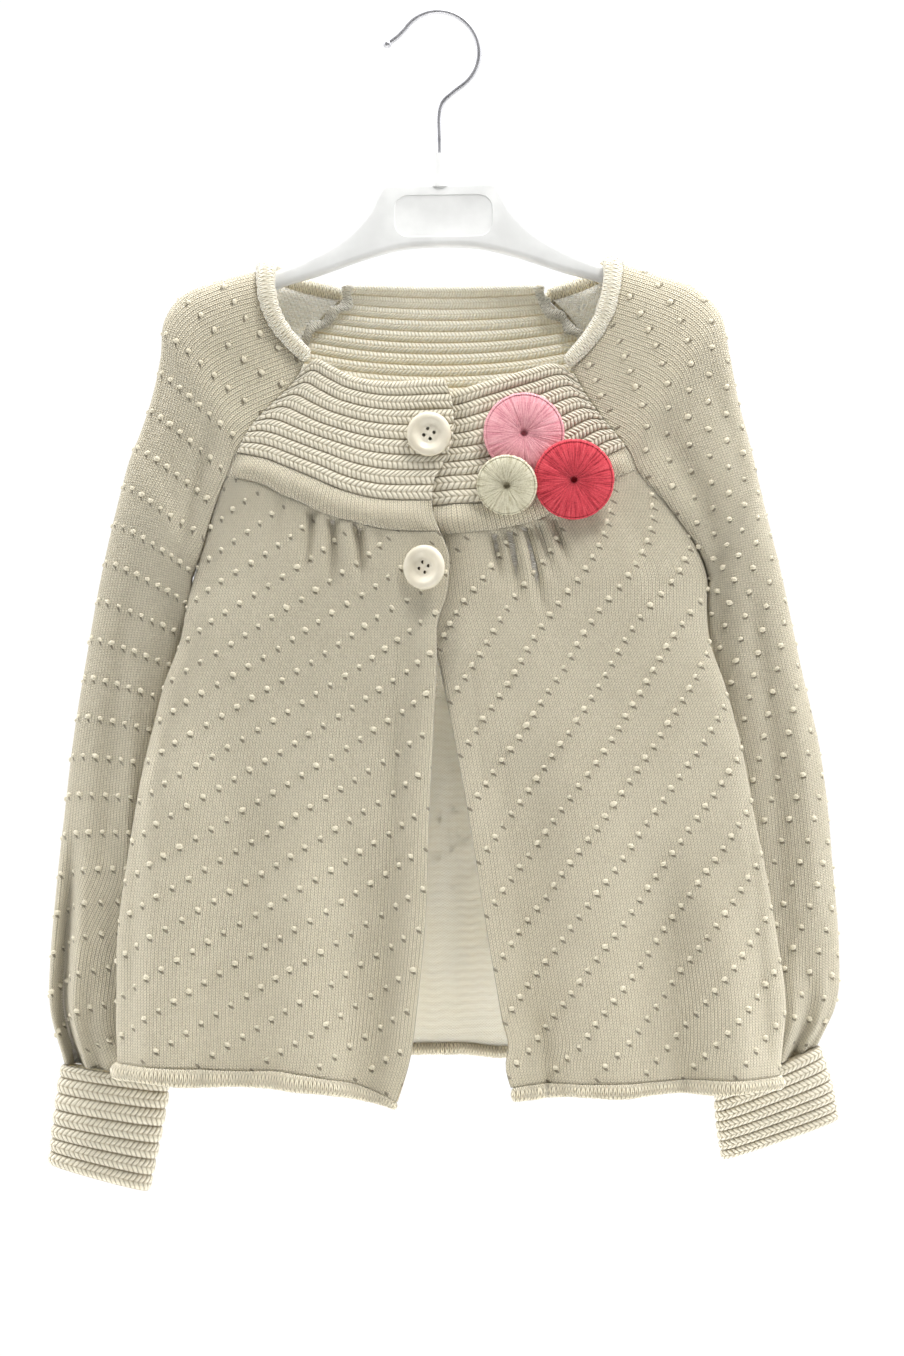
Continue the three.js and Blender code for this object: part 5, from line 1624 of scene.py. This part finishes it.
# Each disc's yarn colour, then the tone painted in its gaps and hole as shade, and the tone painted on its raised
# strands as highlight.
DISC_COLOURS = {
  "pink": [srgb(232, 164, 172), srgb(206, 128, 140), srgb(243, 192, 199)],
  "coral": [srgb(212, 62, 76), srgb(164, 30, 46), srgb(228, 96, 104)],
  "cream": [srgb(214, 209, 184), srgb(176, 168, 138), srgb(230, 226, 205)],
}


def build_discs():
    for k, (name, colour, radius, high, x, y, z, tip, turn) in enumerate(DISCS):
        hole, crown = 1.9, radius * 0.5
        profile = []
        for r in np.linspace(hole, radius * 0.97, 7):
            profile.append([r, -high / 2 * 0.8 * disc_rise(r, hole, crown, radius)])
        back = list(profile)
        front = []
        for angle in np.linspace(-math.pi / 2, math.pi / 2, 7):
            front.append([radius * (0.93 + 0.07 * math.cos(angle)), high / 2 * 0.6 * math.sin(angle)])
        for r in radius - (radius - hole) * np.linspace(0.06, 1, 20) ** 1.15:
            front.append([r, high / 2 * disc_rise(r, hole, crown, radius)])
        front.append([hole * 0.6, -high * 0.1])
        rng = np.random.default_rng(40 + k)
        strands = [(rng.integers(22, 90), rng.uniform(0, 2 * math.pi), rng.uniform(0.25, 1)) for _ in range(14)]
        grooves = [(rng.uniform(0, 2 * math.pi), rng.uniform(0.35, 1.0), rng.uniform(0.02, 0.05)) for _ in range(16)]

        def relief(points, uv, radius=radius, strands=strands, grooves=grooves):
            angle = uv[..., 0] * 2 * np.pi
            lift = sum(a * np.sin(n * angle + p) for n, p, a in strands) * 0.028
            for at, depth, wide in grooves:
                off = (angle - at + math.pi) % (2 * math.pi) - math.pi
                lift = lift - depth * 0.32 * np.exp(-((off / wide) ** 2))
            r = np.linalg.norm(points[..., [0, 2]], axis=-1)
            lift = lift * smooth(r, 1.5, radius * 0.3)
            way = np.sign(-points[..., 1])
            rim = smooth(r, radius * 0.9, radius)
            out = unit(np.stack([points[..., 0], np.zeros_like(r), points[..., 2]], -1))
            face = np.stack([np.zeros_like(r), -way * (1 - rim), np.zeros_like(r)], -1)
            return (face + out * rim[..., None] * 0.8) * lift[..., None]

        material = wound_material("wound_" + colour, *DISC_COLOURS[colour])
        profile = back + front
        round_piece("wound_" + name, name, profile, (x, y, z), tip, turn, material, relief, 240)


def disc_rise(r, hole, crown, radius):
    if r < crown:
        return lerp(0.5, 1, math.sin(math.pi / 2 * (r - hole) / (crown - hole)))
    return math.sqrt(max(0, 1 - ((r - crown) / (radius - crown)) ** 2.4))


# The hanger


def smooth_line(points, count, closed=False):
    """Evenly spaced points on a smooth curve through the given ones."""
    p = np.array(points, float)
    n = len(p)
    made = []
    spans = n if closed else n - 1
    for i in range(spans):
        a, b, c, d = (p[(i + k) % n] if closed else p[min(max(i + k, 0), n - 1)] for k in (-1, 0, 1, 2))
        for t in np.linspace(0, 1, 24, endpoint=False):
            made.append(0.5 * (2 * b + (c - a) * t + (2 * a - 5 * b + 4 * c - d) * t * t + (3 * b - a - 3 * c + d) * t**3))
    if not closed:
        made.append(p[-1])
    made = np.array(made)
    if closed:
        made = np.vstack([made, made[:1]])
    lengths = arc(made)
    at = np.linspace(0, lengths[-1], count)
    return np.stack([np.interp(at, lengths, made[:, k]) for k in range(made.shape[1])], -1)


def hanger_material():
    t = Tree("hanger_plastic")
    cloud = t.noise(60, 3.0)
    grain = t.noise(900, 2.0)
    colour = t.mix(t.ramp(cloud, 0.3, 0.7), srgb(226, 227, 226), srgb(236, 237, 236))
    t.shade(colour, t.ramp(grain, 0.3, 0.7, 0.3, 0.42), t.bump(grain, 0.00002), coat=0.1)
    return t.material


def wire_material():
    t = Tree("hook_wire")
    drawn = t.noise(60, 3.0)
    colour = t.mix(t.ramp(drawn, 0.3, 0.7), srgb(178, 178, 182), srgb(206, 206, 210))
    t.shade(colour, t.ramp(drawn, 0.3, 0.7, 0.42, 0.5), metallic=1.0)
    return t.material


def tilt(points):
    """The hanger's own place: it leans a little, about Y."""
    c, s = math.cos(HANGER_TILT), math.sin(HANGER_TILT)
    x, z = points[..., 0], points[..., 2]
    return np.stack([c * x + s * z + HANGER_SHIFT, points[..., 1], c * z - s * x], -1)


def slab(name, outline, thick, bevel, material, place, steps=5, caps=None):
    """A flat solid from an outline in x and z, with rounded edges. caps lists the faces of each
    flat side by the outline's points, all in one direction; a convex outline needs none."""
    outline = np.array(outline, float)
    step = np.roll(outline, -1, 0) - np.roll(outline, 1, 0)
    inward = unit(np.stack([-step[:, 1], step[:, 0]], -1))
    area = np.sum(outline[:, 0] * np.roll(outline[:, 1], -1) - np.roll(outline[:, 0], -1) * outline[:, 1])
    if area < 0:
        inward = -inward
    made = Builder()
    rings = []
    for face in (-1, 1):
        turns = np.linspace(0, math.pi / 2, steps + 1)
        for angle in turns[::-1] if face < 0 else turns:
            pull = bevel * (1 - math.cos(angle))
            y = face * (thick / 2 - bevel + bevel * math.sin(angle))
            p = outline + inward * pull
            rings.append(made.add(place(np.stack([p[:, 0], np.full(len(p), y), p[:, 1]], -1))))
    index = np.stack(rings)
    index = np.concatenate([index, index[:, :1]], 1)
    uv = np.zeros((*index.shape, 2))
    made.grid(index, uv, 0, area > 0)
    caps = np.arange(len(outline))[None, :] if caps is None else np.array(caps)
    none = np.zeros((*caps.shape, 2))
    front, back = rings[0][caps], rings[-1][caps]
    made.faces(front if area > 0 else front[:, ::-1], none)
    made.faces(back[:, ::-1] if area > 0 else back, none)
    return made.make(name, [material])


def build_hanger():
    plastic, wire = hanger_material(), wire_material()
    n = 60
    top = smooth_line([[0, HANGER_TOP[0][1]], [14, HANGER_TOP[0][1]]] + HANGER_TOP, n)
    foot = smooth_line(HANGER_FOOT, n)
    mirror = np.array([-1, 1])
    outline = np.vstack([top, foot, foot[-2::-1] * mirror, top[:0:-1] * mirror])
    last = len(outline)
    caps = []
    for i in range(n - 1):
        caps.append([i, i + 1, 2 * n - 2 - i, 2 * n - 1 - i])
        over, under = (last - i) % last, 2 * n - 1 + i
        caps.append([over, under, under + 1, last - i - 1])
    body = slab("moulded_hanger", outline, HANGER_THICK, HANGER_BEVEL, plastic, tilt, caps=caps)
    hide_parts("hanger")

    profile = [[0.5, BOSS_FOOT - 2], [6.6, BOSS_FOOT - 2], [6.5, BOSS_FOOT - 0.5], [6.1, BOSS_FOOT + 1.6],
               [5.2, BOSS_FOOT + 4.5], [4.4, BOSS_TOP + 4], [3.9, BOSS_TOP + 0.9], [3.3, BOSS_TOP + 0.1],
               [2.6, BOSS_TOP], [1.75, BOSS_TOP], [1.7, WIRE_END - 0.6], [0.5, WIRE_END - 0.7]]
    profile = np.array(profile)
    made = Builder()
    angles = np.linspace(0, 2 * np.pi, 49)
    r, z = profile[:, 0, None], profile[:, 1, None]
    points = tilt(np.stack(np.broadcast_arrays(r * np.cos(angles), r * np.sin(angles), z), -1))
    index = made.add(points[:, :-1])
    index = np.concatenate([index, index[:, :1]], 1)
    made.grid(index, np.zeros((*index.shape, 2)), 0, False)
    for row, turned in ((0, False), (len(index) - 1, True)):
        made.faces(index[row, :-1][None, :: -1 if turned else 1], np.zeros((1, 48, 2)))
    boss = made.make("boss", [plastic])
    carve(body, boss, "UNION")

    corner, wide, high = 7, 49, 21
    plate = []
    for cx, cz, start in ((1, 1, 0), (-1, 1, 90), (-1, -1, 180), (1, -1, 270)):
        for angle in np.linspace(start, start + 90, 9):
            a = math.radians(angle)
            plate.append([1.5 + cx * (wide / 2 - corner) + corner * math.cos(a),
                          -101.5 + cz * (high / 2 - corner) + corner * math.sin(a)])
    for face in (-1, 1):
        def sunk(points, face=face):
            return tilt(points + [0, face * (HANGER_THICK / 2 + 1.6), 0])
        carve(body, slab("recess", plate, 4, 0.5, plastic, sunk, 3))
    shade_sharp(body)

    route = [[-25.4, -14.6], [-20.4, -11]]
    for angle in np.radians(np.linspace(146, -52, 19)):
        route.append([HOOK_R * math.cos(angle), WIRE_R - HOOK_R + HOOK_R * math.sin(angle)])
    route += [[6, -40], [1.6, -44.4], [0, -51], [0, -62], [0, WIRE_END]]
    line = smooth_line(route, 190)
    line = tilt(np.stack([line[:, 0], np.zeros(len(line)), line[:, 1]], -1))
    made = Builder()
    tube(made, line, WIRE_R, 16)
    hook = made.make("bent_hook", [wire])
    ball = Builder()
    rings = []
    for k in range(1, 12):
        angle = math.pi * k / 12
        a = np.linspace(0, 2 * np.pi, 25)[:-1]
        ring = np.stack([2.1 * math.sin(angle) * np.cos(a), 2.1 * math.sin(angle) * np.sin(a),
                         np.full(24, 2.1 * math.cos(angle))], -1) + line[0]
        rings.append(ball.add(ring))
    index = np.stack(rings)
    index = np.concatenate([index, index[:, :1]], 1)
    ball.grid(index, np.zeros((*index.shape, 2)), 0, False)
    ball.faces(index[0, :-1][None, :], np.zeros((1, 24, 2)))
    ball.faces(index[-1, :-1][None, ::-1], np.zeros((1, 24, 2)))
    carve(hook, ball.make("bead", [wire]), "UNION")
    shade_sharp(hook)
    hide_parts("hook")


def shade_sharp(piece, degrees=38):
    """Rounded shading, with creases where faces meet at more than this."""
    piece.data.polygons.foreach_set("use_smooth", np.ones(len(piece.data.polygons), bool))
    piece.data.set_sharp_from_angle(angle=math.radians(degrees))


def build_stage():
    """A plain pale floor, soft light from the front and right, and the photo's camera."""
    t = Tree("pale_floor")
    grain = t.noise(3, 3.0)
    t.shade(t.mix(grain, srgb(236, 236, 234), srgb(244, 244, 242)), 0.8)
    mesh = bpy.data.meshes.new("floor")
    angles = np.arange(64) * 2 * np.pi / 64
    ring = [(0.95 * math.cos(a), 0.95 * math.sin(a), -0.9) for a in angles]
    mesh.from_pydata(ring, [], [tuple(range(64))])
    mesh.materials.append(t.material)
    floor = bpy.data.objects.new("floor", mesh)
    scene.collection.objects.link(floor)

    world = bpy.data.worlds.new("studio")
    world.use_nodes = True
    nodes, links = world.node_tree.nodes, world.node_tree.links
    where = nodes.new("ShaderNodeTexCoord")
    split = nodes.new("ShaderNodeSeparateXYZ")
    links.new(where.outputs["Generated"], split.inputs[0])

    def ramp(axis, *values):
        node = nodes.new("ShaderNodeMapRange")
        node.interpolation_type = "SMOOTHSTEP"
        for value, socket in zip(values, list(node.inputs)[1:5]):
            socket.default_value = value
        links.new(split.outputs[axis], node.inputs[0])
        return node.outputs[0]

    def join(operation, a, b):
        node = nodes.new("ShaderNodeMath")
        node.operation = operation
        links.new(a, node.inputs[0])
        links.new(b, node.inputs[1])
        return node.outputs[0]

    around = ramp(1, -0.75, 0.15, WORLD_FRONT, WORLD_SIDES)
    high = ramp(2, -0.7, 0.9, WORLD_LOW, WORLD_HIGH)
    light = join("MINIMUM", join("MULTIPLY", around, high), ramp(1, 0.25, 0.75, 4.0, WORLD_BACK))
    light = join("MAXIMUM", light, ramp(1, 0.6, 0.9, 0.0, WORLD_BACK))
    links.new(light, nodes["Background"].inputs[1])
    nodes["Background"].inputs[0].default_value = (1, 1, 1, 1)
    scene.world = world

    aim = Vector((0, 0, -0.34))
    for name, place, size, power, tint in LAMPS:
        lamp = bpy.data.lights.new(name, "AREA")
        lamp.shape = "DISK"
        lamp.size = size
        lamp.energy = power
        lamp.color = tint
        holder = bpy.data.objects.new(name, lamp)
        holder.location = place
        holder.rotation_euler = (aim - Vector(place)).to_track_quat("-Z", "Y").to_euler()
        scene.collection.objects.link(holder)

    camera = bpy.data.cameras.new("camera")
    camera.sensor_width = 36
    camera.lens = 36 * CAMERA_AWAY / FRAME_HIGH
    holder = bpy.data.objects.new("camera", camera)
    holder.location = (0.006, -CAMERA_AWAY, -0.332)
    holder.rotation_euler = (math.pi / 2, 0, 0)
    scene.collection.objects.link(holder)
    scene.camera = holder
    scene.view_settings.view_transform = "Standard"


CAMERA_AWAY = 1.6
FRAME_HIGH = 0.678
WORLD_FRONT = 0.15
WORLD_SIDES = 2.3
WORLD_BACK = 1.05
WORLD_LOW = 0.5
WORLD_HIGH = 2.15
LAMPS = [
  ("key", (0.45, -0.62, 1.0), 0.4, 16, (1, 0.99, 0.97)),
]

build_hanger()
build_buttons()
build_discs()
build_neck_rolls()
build_seam_curls()
build_hems()
build_fronts()
build_back()
build_sleeves()
build_stage()
